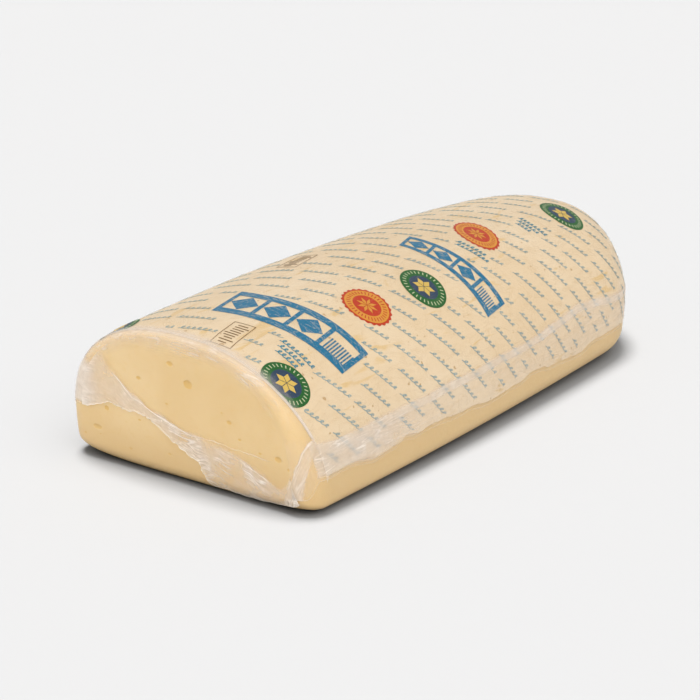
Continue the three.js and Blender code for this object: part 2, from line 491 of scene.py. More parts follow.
def vertices_of(piece: Piece) -> Array:
    """A piece's vertices, one row each."""
    flat = np.empty(len(piece.data.vertices) * 3)
    piece.data.vertices.foreach_get("co", flat)
    return flat.reshape(-1, 3)


def lay(piece: Piece, points: Array) -> None:
    """Puts a piece's vertices at points."""
    piece.data.vertices.foreach_set("co", np.ascontiguousarray(points).ravel())
    piece.data.update()


def added_grid(name: str, rows: int, columns: int) -> tuple[Piece, Array, Array]:
    """Adds a flat grid of unit size round the origin, to be laid somewhere.

    Args:
        name: The piece's name.
        rows: Number of steps along its y.
        columns: Number of steps along its x.

    Returns:
        The piece, and each vertex's row and column number.
    """
    bpy.ops.mesh.primitive_grid_add(x_subdivisions=columns, y_subdivisions=rows, size=1)
    piece = newest(name)
    flat = vertices_of(piece)
    row = np.rint((flat[:, 1] + 0.5) * rows).astype(int)
    column = np.rint((flat[:, 0] + 0.5) * columns).astype(int)
    return piece, row, column


def in_edit_mode(piece: Piece, *steps: Callable[[], object]) -> None:
    """Runs edit-mode operators on the whole of a piece.

    Args:
        piece: The piece.
        steps: Each calls one operator.
    """
    only(piece)
    bpy.ops.object.mode_set(mode="EDIT")
    bpy.ops.mesh.select_all(action="SELECT")
    for step in steps:
        step()
    bpy.ops.object.mode_set(mode="OBJECT")


def facing_out(piece: Piece) -> None:
    """Merges a piece's doubled vertices and turns its faces outwards.

    Args:
        piece: The piece.
    """
    in_edit_mode(
        piece,
        lambda: bpy.ops.mesh.remove_doubles(threshold=1e-6),
        lambda: bpy.ops.mesh.normals_make_consistent(inside=False),
    )


def facing_away(piece: Piece) -> None:
    """Turns an open sheet's faces up and away from the loaf.

    Args:
        piece: The sheet.
    """
    facing_out(piece)
    normals = np.empty(len(piece.data.polygons) * 3)
    piece.data.polygons.foreach_get("normal", normals)
    if normals.reshape(-1, 3)[:, 2].sum() < 0:
        in_edit_mode(piece, lambda: bpy.ops.mesh.flip_normals())


def with_modifier(piece: Piece, kind: str, **settings: object) -> None:
    """Adds a modifier to a piece and applies it.

    Args:
        piece: The piece.
        kind: Blender's name for the kind of modifier.
        settings: The modifier's properties by name.
    """
    only(piece)
    modifier = piece.modifiers.new(kind.lower(), kind)
    for key, value in settings.items():
        setattr(modifier, key, value)
    bpy.ops.object.modifier_apply(modifier=modifier.name)


def with_thickness(piece: Piece, thickness: float, side: float) -> None:
    """Makes an open sheet a shell.

    Args:
        piece: The sheet.
        thickness: Its thickness in millimetres.
        side: 1 to grow away from the loaf, -1 to grow towards it.
    """
    with_modifier(piece, "SOLIDIFY", thickness=thickness * MM, offset=side)


def joined(name: str, pieces: Sequence[Piece]) -> Piece:
    """Joins pieces into one.

    Args:
        name: The new piece's name.
        pieces: The pieces, at least one.

    Returns:
        The new piece.
    """
    bpy.ops.object.select_all(action="DESELECT")
    for piece in pieces:
        piece.select_set(True)
    bpy.context.view_layer.objects.active = pieces[0]
    if len(pieces) > 1:
        bpy.ops.object.join()
    return newest(name)


def smooth(piece: Piece, degrees: float = 40.0) -> None:
    """Shades a piece smooth, but for edges sharper than an angle."""
    only(piece)
    bpy.ops.object.shade_smooth_by_angle(angle=math.radians(degrees))


def keep_values(piece: Piece, name: str, values: Array) -> None:
    """Stores one number per vertex for the piece's finish."""
    attribute = piece.data.attributes.new(name, "FLOAT", "POINT")
    attribute.data.foreach_set("value", np.ascontiguousarray(values, dtype=np.float32))


def keep_uv(piece: Piece, name: str, uv: Array) -> None:
    """Stores a UV map.

    Args:
        piece: The piece.
        name: The map's name.
        uv: A pair of numbers for each vertex.
    """
    layer = piece.data.uv_layers.new(name=name)
    corner = np.empty(len(piece.data.loops), dtype=int)
    piece.data.loops.foreach_get("vertex_index", corner)
    layer.data.foreach_set("uv", uv[corner].ravel())


def declare(piece: Piece, finish: "Finish", slot: Slot, *nodes: str) -> None:
    """Gives a piece its finish, and says what it rides on and stands for.

    Args:
        piece: The piece.
        finish: Its finish.
        slot: The piece's material slot; not used.
        nodes: The CAD nodes that it replaces.
    """
    piece.data.materials.clear()
    piece.data.materials.append(finish.material())
    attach(piece, BODY)
    if nodes:
        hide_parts(*nodes)
    LOG.info("%s: %d faces", piece.name, len(piece.data.polygons))


# ---- Finishes ----


class Value:
    """A number in a material's node tree, which is reckoned with as numbers are."""

    def __init__(self, graph: "Graph", socket: bpy.types.NodeSocket) -> None:
        """Takes an output socket of a graph."""
        self.graph, self.socket = graph, socket

    def __add__(self, other: object) -> "Value":
        """The sum."""
        return self.graph.math("ADD", self, other)

    def __sub__(self, other: object) -> "Value":
        """The difference."""
        return self.graph.math("SUBTRACT", self, other)

    def __mul__(self, other: object) -> "Value":
        """The product."""
        return self.graph.math("MULTIPLY", self, other)

    def __abs__(self) -> "Value":
        """The size, without its sign."""
        return self.graph.math("ABSOLUTE", self, 0)

    def at_least(self, other: object) -> "Value":
        """The larger of the two."""
        return self.graph.math("MAXIMUM", self, other)

    def at_most(self, other: object) -> "Value":
        """The smaller of the two."""
        return self.graph.math("MINIMUM", self, other)


class Graph:
    """A material's node tree around one Principled shader."""

    def __init__(self, name: str, **settings: object) -> None:
        """Starts a material.

        Args:
            name: The material's name.
            settings: Principled inputs by name, with _ for a space.
        """
        self.material = bpy.data.materials.new(name)
        self.material.use_nodes = True
        self.tree = self.material.node_tree
        self.shader = self.tree.nodes["Principled BSDF"]
        for key, value in settings.items():
            self.shader.inputs[key.replace("_", " ")].default_value = value

    def node(self, kind: str, inputs: dict[object, object], **settings: object) -> bpy.types.Node:
        """Adds a node.

        Args:
            kind: Its type, without ShaderNode.
            inputs: What feeds its inputs, each by name or number.
            settings: Its properties by name.

        Returns:
            The node.
        """
        made = self.tree.nodes.new("ShaderNode" + kind)
        for key, value in settings.items():
            setattr(made, key, value)
        for key, value in inputs.items():
            self.feed(made.inputs[key], value)
        return made

    def feed(self, socket: bpy.types.NodeSocket, value: object) -> None:
        """Gives a socket its value.

        Args:
            socket: The input.
            value: What it is linked to, or the number or colour that it is set to.
        """
        if isinstance(value, Value):
            self.tree.links.new(value.socket, socket)
        elif isinstance(value, tuple) and len(value) == 3 and socket.type == "RGBA":
            socket.default_value = (*value, 1.0)
        else:
            socket.default_value = value

    def place(self, x: float, y: Optional[float] = None, uv: Optional[str] = None) -> Value:
        """Coordinates to read a texture by.

        Args:
            x: Cells per metre along x and z, or per UV unit.
            y: Cells along y, or None for as many as along x.
            uv: The name of a UV map, or None for the object's own coordinates.

        Returns:
            A vector.
        """
        if uv:
            source = self.node("UVMap", {}, uv_map=uv).outputs["UV"]
        else:
            source = self.node("TexCoord", {}).outputs["Object"]
        scale = (x, y or x, 1.0 if uv else x)
        mapping = self.node("Mapping", {"Vector": Value(self, source), "Scale": scale})
        return Value(self, mapping.outputs["Vector"])

    def noise(
        self, place: Value, detail: float, roughness: float = 0.5, twist: float = 0.0
    ) -> Value:
        """Noise of one cell per unit of place.

        Args:
            place: The coordinates it is read by.
            detail: Number of finer octaves.
            roughness: How strong each finer octave is.
            twist: How far it is distorted.

        Returns:
            A number near 0.5 on average.
        """
        inputs = {"Vector": place, "Scale": 1.0, "Detail": detail}
        inputs |= {"Roughness": roughness, "Distortion": twist}
        return Value(self, self.node("TexNoise", inputs).outputs["Fac"])

    def ramp(
        self, value: Value, start: float, end: float, low: float = 0.0, high: float = 1.0
    ) -> Value:
        """Maps a value smoothly from start..end to low..high, held at both ends."""
        inputs = {"Value": value, "From Min": start, "From Max": end, "To Min": low, "To Max": high}
        made = self.node("MapRange", inputs, interpolation_type="SMOOTHSTEP")
        return Value(self, made.outputs["Result"])

    def line(self, noise: Value, width: float) -> Value:
        """Thin lines where a noise crosses its average."""
        return self.ramp(abs(noise - 0.5), 0.0, width, 1, 0)

    def math(self, operation: str, a: object, b: object) -> Value:
        """A Math node's result."""
        return Value(self, self.node("Math", {0: a, 1: b}, operation=operation).outputs[0])

    def mixed(self, share: object, a: object, b: object) -> Value:
        """A colour from a to b."""
        return Value(self, self.node("Mix", {0: share, 6: a, 7: b}, data_type="RGBA").outputs[2])

    def stored(self, name: str) -> Value:
        """A number stored per vertex."""
        return Value(self, self.node("Attribute", {}, attribute_name=name).outputs["Fac"])

    def set(self, name: str, value: object) -> None:
        """Feeds one of the shader's inputs."""
        self.feed(self.shader.inputs[name], value)

    def bumped(self, height: Value, distance: float) -> None:
        """Gives the shader half the bump of a height, over a distance in metres."""
        inputs = {"Height": height, "Distance": distance, "Strength": 0.5}
        self.set("Normal", Value(self, self.node("Bump", inputs).outputs["Normal"]))


class Finish(Protocol):
    """Anything that makes a material."""

    def material(self) -> bpy.types.Material:
        """Builds the material."""


@dataclass(frozen=True)
class PasteFinish:
    """Pale, close, slightly waxy cheese paste, with painted shade in the hollows of its eyes and
    towards its foot.
    """

    body: Colour = srgb(226, 193, 137)
    # A deeper yellow for the grain, and painted shade in the hollows of the eyes.
    grain_and_eye_shade: Colour = srgb(219, 179, 106)
    pale: Colour = srgb(231, 201, 150)
    # The outer skin's own colour, also used as painted shade that darkens the paste towards its
    # foot.
    rind_and_foot_shade: Colour = srgb(209, 175, 122)

    def material(self) -> bpy.types.Material:
        """Builds the material.

        Returns:
            The material.
        """
        g = Graph("paste", Roughness=0.5, Subsurface_Weight=0.12, Subsurface_Scale=0.004)
        g.shader.inputs["Subsurface Radius"].default_value = (1.0, 0.6, 0.25)
        clouds = g.noise(g.place(26), 3, 0.6)
        grain = g.noise(g.place(420), 3, 0.6)
        tone = g.mixed(g.ramp(clouds, 0.35, 0.7), self.body, self.pale)
        tone = g.mixed(g.ramp(grain, 0.5, 0.8, 0, 0.25), tone, self.grain_and_eye_shade)
        # Painted shade in the hollows of the eyes.
        tone = g.mixed(g.ramp(g.stored("depth"), 0, 1), tone, self.grain_and_eye_shade)
        # The outer skin's colour, and painted shade: the paste darkens towards its foot.
        g.set("Base Color", g.mixed(g.stored("rind_and_foot_shade"), tone, self.rind_and_foot_shade))
        g.set("Roughness", g.ramp(clouds, 0.3, 0.7, 0.42, 0.56))
        g.bumped(clouds + grain, 0.0002)
        return g.material


@dataclass(frozen=True)
class CasingFinish:
    """Thin cream casing with faint veins, stains and specks."""

    body: Colour = srgb(226, 200, 162)
    vein: Colour = srgb(212, 180, 134)
    pale: Colour = srgb(231, 208, 174)
    streak: Colour = srgb(219, 183, 122)
    speck: Colour = srgb(182, 142, 88)

    def material(self) -> bpy.types.Material:
        """Builds the material.

        Returns:
            The material.
        """
        g = Graph("casing", Specular_IOR_Level=0.3, Sheen_Weight=0.1, Sheen_Roughness=0.4)
        clouds = g.noise(g.place(18), 4, 0.6)
        fibres = g.noise(g.place(230, 90), 4, 0.65, 0.8)
        ridge = g.line(g.noise(g.place(60, 34), 5, 0.62, 1.2), 0.03)
        specks = g.noise(g.place(330), 1, 0.3)
        streaks = g.noise(g.place(150, 38), 2, 0.5, 0.7)
        tone = g.mixed(g.ramp(clouds, 0.35, 0.7), self.body, self.pale)
        tone = g.mixed(g.ramp(fibres, 0.45, 0.8, 0, 0.35), tone, self.vein)
        tone = g.mixed(ridge * 0.16, tone, self.vein)
        tone = g.mixed(g.ramp(streaks, 0.61, 0.72, 0, 0.7), tone, self.streak)
        tone = g.mixed(g.ramp(specks, 0.74, 0.79, 0, 0.7), tone, self.speck)
        g.set("Base Color", tone)
        g.set("Roughness", g.ramp(fibres, 0.3, 0.7, 0.36, 0.54))
        g.bumped(ridge * 0.5 + fibres, 0.0003)
        return g.material


@dataclass(frozen=True)
class InkFinish:
    """One printed ink, worn thin in fine streaks."""

    name: str
    colour: Colour
    wear: float
    scratched: float
    ground: Colour = srgb(226, 206, 176)

    def material(self) -> bpy.types.Material:
        """Builds the material.

        Returns:
            The material.
        """
        g = Graph("ink_" + self.name, Roughness=0.45, Specular_IOR_Level=0.3)
        streaks = g.noise(g.place(700, 160), 4, 0.7, 0.6)
        patches = g.noise(g.place(120), 3, 0.6)
        thin = g.ramp(streaks, 0.5, 0.75) * g.ramp(patches, 0.3, 0.7, 0.3, 1) * self.wear
        if self.scratched:
            scratches = g.line(g.noise(g.place(110, 330), 3, 0.6, 0.5), 0.022)
            thin = thin.at_least(scratches * self.scratched)
        g.set("Base Color", g.mixed(thin, self.colour, self.ground))
        return g.material


@dataclass(frozen=True)
class FilmFinish:
    """Clear film, milky where it is gathered, with thin white lines along its creases and a painted
    highlight along the casing's edge.
    """

    veil: Colour = (0.9, 0.81, 0.71)
    clearest: float = 0.006
    milkiest: float = 0.92
    # The lines through it, and their half widths in millimetres; the edge line is a painted
    # highlight.
    marks: tuple[tuple[str, float], ...] = (
        ("fold", 0.5), ("strip", 0.6), ("edge", 1.1), ("hem", 0.6),
    )

    def material(self) -> bpy.types.Material:
        """Builds the material.

        Returns:
            The material.
        """
        g = Graph("film", Specular_IOR_Level=0.4)
        wide = g.noise(g.place(20, 150, "creases"), 2, 0.5, 0.3)
        fine = g.noise(g.place(40, 430, "creases"), 2, 0.5, 0.3)
        patches = g.noise(g.place(70), 3, 0.55)
        clouds = g.noise(g.place(240), 4, 0.65, 0.3)
        haze, creased = g.stored("haze"), g.stored("creased")
        thin = g.line(wide, 0.03).at_least(g.line(fine, 0.05) * 0.6)
        thin = thin * g.ramp(patches, 0.44, 0.62, 0.05, 0.5)
        flecks = g.ramp(clouds, 0.71, 0.78, 0, 0.45)
        white = (thin.at_least(flecks) + g.ramp(wide, 0.5, 0.8, 0, 0.14)) * creased
        # Whiter along each line; along the casing's edge this is a painted highlight.
        for name, width in self.marks:
            near = g.ramp(abs(g.stored(name)), 0.0, width, 1, 0)
            white = white.at_least(near * g.stored(name + "_shown"))
        mottle = g.ramp(patches, 0.3, 0.7, 0.85, 1.15) * g.ramp(clouds, 0.3, 0.7, 0.9, 1.1)
        g.set("Base Color", self.veil)
        g.set("Alpha", (haze * mottle + white + self.clearest).at_most(self.milkiest))
        g.set("Roughness", g.ramp(haze, 0.0, 0.6, 0.16, 0.32))
        g.bumped(wide * (creased + 0.1), 0.0002)
        return g.material


@dataclass(frozen=True)
class FloorFinish:
    """The plain pale floor."""

    # Faintly blue, against the loaf's warm reflection in its shadow.
    tone: Colour = (0.188, 0.2, 0.214)

    def material(self) -> bpy.types.Material:
        """Builds the material.

        Returns:
            The material.
        """
        g = Graph("floor", Roughness=0.9, Specular_IOR_Level=0.1)
        grain = g.noise(g.place(3), 2)
        g.set("Base Color", g.mixed(grain, self.tone, tuple(c * 0.995 for c in self.tone)))
        return g.material


# ---- The pieces ----


@dataclass
class Paste:
    """The cheese itself: the loaf with its cut face and the eyes in it."""

    skin: Skin
    face_rows: int = 26
    rim_rows: int = 12
    body_rows: int = 96
    dome_rows: int = 44
    columns: int = 240
    # Height over which painted shade darkens the paste towards its foot.
    foot_height: float = 34.0
    eye_depth: float = 0.12
    eye_size: float = 1.2
    # Across and up on the face, then half width and half height, in millimetres.
    eyes: tuple[tuple[float, float, float, float], ...] = (
        (-3.3, 61.0, 1.6, 1.6),
        (-24.0, 49.5, 1.2, 1.1),
        (6.6, 52.7, 2.2, 2.9),
        (-46.9, 29.0, 1.2, 1.9),
        (-54.5, 17.6, 2.4, 1.5),
        (-26.4, 27.4, 0.8, 0.7),
        (-34.2, 10.8, 1.0, 0.8),
        (-9.5, 13.7, 0.9, 0.9),
        (-63.0, 12.5, 0.7, 0.9),
        (-53.2, 14.0, 0.6, 0.6),
        (-8.0, 39.8, 0.9, 0.6),
        (29.4, 38.8, 1.3, 1.3),
        (25.5, 42.7, 0.6, 0.6),
        (34.7, 31.3, 0.9, 0.9),
        (46.1, 27.1, 0.9, 0.8),
        (56.5, 26.6, 1.7, 1.9),
        (62.0, 22.7, 0.7, 1.1),
    )

    def build(self) -> tuple[Piece, BVHTree]:
        """Models the loaf and cuts its eyes.

        Returns:
            The loaf, and its surface as it was before the eyes were cut.
        """
        rows = self.face_rows + self.rim_rows + self.body_rows + self.dome_rows
        piece, row, column = added_grid("cheese_paste", rows, self.columns)
        lay(piece, self.skin.in_frame(self._points(row, column / self.columns * FULL)))
        facing_out(piece)
        whole = BVHTree.FromObject(piece, bpy.context.evaluated_depsgraph_get())
        self._cut_eyes(piece)
        smooth(piece)
        return piece, whole

    def _points(self, row: Array, turn: Array) -> Array:
        """Where the loaf's vertices lie.

        Args:
            row: Each vertex's row, from the middle of the face to the tip of the dome.
            turn: Its turn.

        Returns:
            Points in millimetres.
        """
        skin = self.skin
        on_rim = row - self.face_rows
        on_body = on_rim - self.rim_rows
        on_dome = on_body - self.body_rows
        roll = QUARTER * np.clip(1 - on_rim / self.rim_rows, 0, 1)
        body = np.clip(on_body / self.body_rows, 0, 1) ** 1.15
        along = blend(skin.rim(turn), skin.dome_start, body)
        along = np.where(on_dome > 0, skin.along_dome(on_dome / self.dome_rows), along)
        points = skin.points(np.where(roll > 0, 0.0, along), turn, 0.0, roll)
        middle_up = skin.height[0] * 0.45
        middle = np.array([0.0, skin.lean_shift(0.0, middle_up), middle_up])
        share = np.clip(row / self.face_rows, 0, 1)[:, None]
        return np.where(on_rim[:, None] < 0, middle + (points - middle) * share, points)

    def _cut_eyes(self, piece: Piece) -> None:
        """Cuts a shallow round hollow for each eye.

        Args:
            piece: The loaf.
        """
        made = []
        for across, up, half_width, half_height in self.eyes:
            bpy.ops.mesh.primitive_uv_sphere_add(segments=20, ring_count=12, radius=1)
            eye = newest("eye")
            depth = self.eye_depth * (half_width + half_height) / 2
            centre = np.array([across, self.skin.lean_shift(0.0, up), up])
            size = np.array([half_width, depth, half_height]) * self.eye_size
            lay(eye, self.skin.in_frame(vertices_of(eye) * size + centre))
            made.append(eye)
        eyes = joined("eyes", made)
        with_modifier(piece, "BOOLEAN", object=eyes, operation="DIFFERENCE", solver="EXACT")
        bpy.data.objects.remove(eyes)

    def dress(self, piece: Piece) -> None:
        """Marks the hollows of the eyes and the bare outer skin, with painted shade in the eyes and
        towards the foot, and gives the loaf its finish.

        Args:
            piece: The loaf.
        """
        x, y, z = self.skin.from_frame(vertices_of(piece)).T
        behind = y - self.skin.lean_shift(0.0, z)
        # Where the hollows of the eyes lie, for their painted shade.
        depth = np.zeros(len(x))
        for across, up, half_width, half_height in self.eyes:
            out = np.hypot((x - across) / half_width, (z - up) / half_height)
            depth[(out < 1.05 * self.eye_size) & (behind > 0.05) & (behind < 4)] = 1.0
        keep_values(piece, "depth", depth)
        # Painted shade: darker towards the foot, in the outer skin's colour.
        foot = falling(z, 0, self.foot_height)
        keep_values(piece, "rind_and_foot_shade", np.maximum(rising(behind, 2, 14) * 0.6, foot * 0.8))
        declare(piece, PasteFinish(), Slot.CHEESE, "cheese")


@dataclass
class Sheet:
    """What the casing and the film share: rows from the rim to the tip, between the two hems."""

    skin: Skin
    hem: Hem
    # How much of its width the last row keeps, so that the sheet closes at the tip.
    tip_width: float = 0.05

    def shares(self, column: Array, columns: int, gather: float) -> Array:
        """Shares of the way over, closer together at the edges."""
        share = column / columns
        return share - gather * np.sin(share * FULL) / FULL

    def over(self, along: Array, roll: Array, share: Array, rise: float) -> Array:
        """The turn at a share of the way over, from the right hem to the left one.

        Args:
            along: Distance from the cut, 0 round the rim.
            roll: 0 on the skin to a quarter turn on the cut face.
            share: Share of the way over.
            rise: How far inside the film's hem the edge runs.

        Returns:
            Turns. Round the rim only a row's ends follow the hem, so the rows stay square to it.
        """
        on_rim = roll > 0
        rim_at_side = self.skin.rim_at_side
        turns, shifts = [], []
        for side in Side:
            place = along + np.where(on_rim, rim_at_side * (1 - np.sin(roll)), 0.0)
            edge = self.hem.height(side, place) + rise
            own = self.skin.turn_at_height(side, along, edge, 0.4, roll)
            start = self.hem.height(side, place * 0 + rim_at_side) + rise
            flat = self.skin.turn_at_height(side, along, start, 0.4, roll * 0)
            turns.append(np.where(on_rim, flat, own))
            shifts.append(np.where(on_rim, own - flat, 0.0))
        even = blend(turns[0], HALF - turns[1], share)
        return even + shifts[0] * (1 - share) ** 6 - shifts[1] * share**6

    def laid_out(
        self, roll: Array, body: Array, dome: Array, share: Array, start: float, rise: float
    ) -> tuple[Array, Array]:
        """Distance from the cut and turn of each vertex.

        Args:
            roll: 0 on the skin to a quarter turn on the cut face.
            body: Share of the way from the rim to the dome.
            dome: Distance from the cut where a vertex is on the dome, and 0 elsewhere.
            share: Share of the way over.
            start: A first guess at where the rim ends.
            rise: How far inside the film's hem the edge runs.

        Returns:
            Distances along, and turns.
        """

        def along(rim_end: Array) -> Array:
            """Distances along, for where the rim ends."""
            on_skin = np.where(dome > 0, dome, blend(rim_end, self.skin.dome_start, body))
            return np.where(roll > 0, 0.0, on_skin)

        turn = self.over(along(start), roll, share, rise)
        return along(self.skin.rim(turn)), turn


@dataclass
class Casing(Sheet):
    """The printed casing, from the rim of the cut to the dome."""

    rows: int = 190
    columns: int = 132
    dome_rows: int = 44
    thickness: float = 0.3
    crinkle: Unevenness = Unevenness(21)

    def build(self) -> Piece:
        """Models the casing as a thin shell.

        Returns:
            The casing.
        """
        piece, row, column = added_grid("printed_casing", self.rows, self.columns)
        body_rows = self.rows - self.dome_rows
        on_dome = row - body_rows
        dome = self.skin.along_dome(on_dome / self.dome_rows, 0.965, 0.9995) * (on_dome > 0)
        share = self.shares(column, self.columns, 0.5)
        body = np.clip(row / body_rows, 0, 1)
        along, turn = self.laid_out(body * 0, body, dome, share, 5.0, self.hem.casing_rise)
        girth = (turn - QUARTER) * GIRTH_RADIUS
        fine = self.crinkle.creases(girth / 16, along / 26) * 0.14
        points = self.skin.points(along, turn, self.hem.casing_lift(along, turn) + fine)
        points[row == self.rows, 0] *= self.tip_width
        lay(piece, self.skin.in_frame(points))
        facing_away(piece)
        with_thickness(piece, self.thickness, -1.0)
        smooth(piece)
        return piece

    def dress(self, piece: Piece) -> None:
        """Gives the casing its finish."""
        declare(piece, CasingFinish(), Slot.CASING, "casing")


@dataclass
class Film(Sheet):
    """The clear film over the cut, the rim and the casing, gathered at its hem.

    What its finish needs at each point is a Veil: how milky (haze) and how creased it is, how high
    its ridges stand, and for each line that runs through it the distance from that line and how
    strongly it shows.
    """

    tear_rows: int = 48
    rim_rows: int = 26
    body_rows: int = 112
    dome_rows: int = 40
    columns: int = 176
    thickness: float = 0.12
    face_lift: float = 0.35
    over_casing: float = 0.3
    # How milky it is round the rim, up the strip, along the stripe and at the left corner.
    rim_haze: float = 0.38
    strip_haze: float = 0.38
    stripe_haze: float = 0.46
    corner_haze: float = 0.62
    strip_top: float = 39.0
    # The torn edge over the cut, across and up, from the lower right round to the left.
    tear: Line = (
        (67.3, 7.0), (64.5, 5.0), (56.4, 3.9), (44, 2.6), (30, 3.4), (15, 3.8), (12.2, 8),
        (8.5, 14), (-4, 20), (-12, 25), (-19, 29.6), (-27, 31.6), (-37, 31), (-44, 33.4),
        (-51, 30.6),
    )
    # The upper edge of the milky strip above the tear, and the main crease in it.
    upper: Line = (
        (-62, 76), (-45, 60.5), (-42, 54), (-36, 47), (-30, 41), (-23, 38), (-15, 34.5), (0, 29.5),
        (13, 27), (28, 24.5), (44, 19), (56, 13), (60, 15), (63, 20),
    )
    crease: Line = (
        (-42, 50), (-36, 46), (-29, 38.8), (-24, 37.4), (-18, 34.3), (-6, 30.3), (5, 26.9),
        (17.7, 27.1), (41.5, 25.6), (62.9, 23.9),
    )
    # The strip up the right of the cut: height, then its left and its right edge across.
    strip: tuple[Triple, ...] = (
        (3, 56.0, 67.0), (8, 58.5, 68.2), (15.7, 62.3, 69.4), (27, 67.2, 71.8), (34, 69.4, 72.2),
        (38, 70.7, 71.6),
    )
    # The upper edge of the pale stripe along the right side: distance along, then height.
    stripe: Line = (
        (0, 36), (20, 34), (43, 34), (108, 36), (170, 37.5), (229, 42.5), (274, 38.5), (320, 34),
    )
    ragged: Unevenness = Unevenness(33)
    fine: Unevenness = Unevenness(34)
    folds: Unevenness = Unevenness(35)

    def build(self, whole: BVHTree) -> Piece:
        """Models the film as a thin shell over the loaf.

        Args:
            whole: The loaf's surface, which the film is laid against on the cut.

        Returns:
            The film.
        """
        rows = self.tear_rows + self.rim_rows + self.body_rows + self.dome_rows
        piece, row, column = added_grid("clear_film", rows, self.columns)
        on_rim = row - self.tear_rows
        on_body = on_rim - self.rim_rows
        on_dome = on_body - self.body_rows
        roll = QUARTER * np.clip(1 - on_rim / self.rim_rows, 0, 1) ** 1.4
        body = np.clip(on_body / self.body_rows, 0, 1) ** 1.25
        dome = self.skin.along_dome(on_dome / self.dome_rows, 0.975, 0.9997) * (on_dome > 0)
        share = self.shares(column, self.columns, 0.62)
        along, turn = self.laid_out(roll, body, dome, share, self.skin.rim_at_side, 0.0)
        lift, veil, uv = self._over_casing(along, turn, roll)
        points = self.skin.points(along, turn, lift, roll)
        points[row == rows, 0] *= self.tip_width
        on_face = on_rim < 0
        rim_row = points[on_rim == 0][np.argsort(column[on_rim == 0])]
        points[on_face], face_veil, uv[on_face] = self._over_cut(
            row[on_face] / self.tear_rows, column[on_face], rim_row, whole
        )
        lay(piece, self.skin.in_frame(points))
        keep_uv(piece, "creases", uv * MM)
        facing_away(piece)
        with_thickness(piece, self.thickness, 1.0)
        for name, values in veil.items():
            values[on_face] = face_veil[name]
            # The solidified sheet has its outer vertices first, and only they are milky.
            inner = values * 0 if name in ("haze", "creased") else values
            keep_values(piece, name, np.concatenate([values, inner]))
        smooth(piece, 60)
        return piece

    def _round_rim(self, from_rim: Array, girth: Array, turn: Array) -> Veil:
        """The veil round the rim of the cut.

        Args:
            from_rim: Distance over the rim from the casing's edge, + over the casing.
            girth: Distance round the loaf from the crown.
            turn: Angle round the outline.

        Returns:
            The film's milkiness, creases and ridges there, and the painted highlight along the
            casing's edge.
        """
        on_top = rising(turn, 0.55, 1.15)
        outer = hump(np.maximum(from_rim - 1.0, 0), 2.2)
        inner = hump(np.maximum(-4.0 - from_rim, 0), 3.5)
        deeper = hump(np.maximum(-7.5 - from_rim, 0), 3.0)
        milky = outer * inner * blend(0.12, 1.0, on_top)
        on_left = blend(1.0, 0.15, rising(turn, 2.25, 2.6))
        creased = outer * deeper * blend(0.3, 0.7, on_top)
        return {
            "haze": self.rim_haze * milky * blend(1.0, 0.62, rising(-from_rim, 1.5, 4.0)),
            "creased": creased * rising(turn, 0.45, 0.75) * on_left,
            "ridge": 0.16 * milky * self.fine.creases(from_rim / 2.2, girth / 45) * on_left,
            # A painted highlight along the casing's edge, strongest at the sides.
            "edge": from_rim + 0.2,
            "edge_shown": blend(0.55, 0.2, on_top),
        }

    def _up_strip(self, x: Array, z: Array) -> Veil:
        """The veil of the strip up the right of the cut.

        Args:
            x: Places across the cut.
            z: Places up it.

        Returns:
            The film's milkiness, creases and ridges there, the line up the strip's left edge, and
            the distance across the strip.
        """
        height, left, right = zip(*self.strip)
        from_left = x - np.interp(z, height, left)
        to_right = np.interp(z, height, right) - x
        wobble = 0.6 * self.ragged.rough(z / 5, x / 9)
        below_top = falling(z, self.strip_top - 2, self.strip_top)
        inside = rising(from_left + wobble, -0.7, 0.7) * rising(to_right, -0.6, 0.6) * below_top
        broken = 0.65 + 0.5 * self.fine(z / 3, z * 0)
        return {
            "haze": self.strip_haze * inside,
            "creased": 0.55 * inside,
            "ridge": 0.3 * inside,
            "strip": from_left + wobble - 0.4,
            "strip_shown": 0.4 * rising(z, 12, 16) * below_top * broken,
            "across": from_left,
        }

    def _over_casing(self, along: Array, turn: Array, roll: Array) -> tuple[Array, Veil, Array]:
        """The film round the rim and over the casing.

        Args:
            along: Distance from the cut, 0 round the rim.
            turn: Angle round the outline.
            roll: 0 on the skin to a quarter turn on the cut face.

        Returns:
            How far the film lifts from the skin, its veil, and the places its creases are read by.
        """
        skin = self.skin
        on_rim = roll > 0
        girth = (QUARTER - turn) * GIRTH_RADIUS
        from_rim = np.where(on_rim, -roll * skin.rim(turn), along - skin.rim(turn))
        bare = skin.points(along, turn, 0.6, roll)
        x, z = bare[..., 0], bare[..., 2]
        place = np.where(on_rim, skin.rim_at_side * (1 - np.sin(roll)), along)
        above = self.hem.above(bare, place)
        off_hem = rising(above, 0, 3.5)
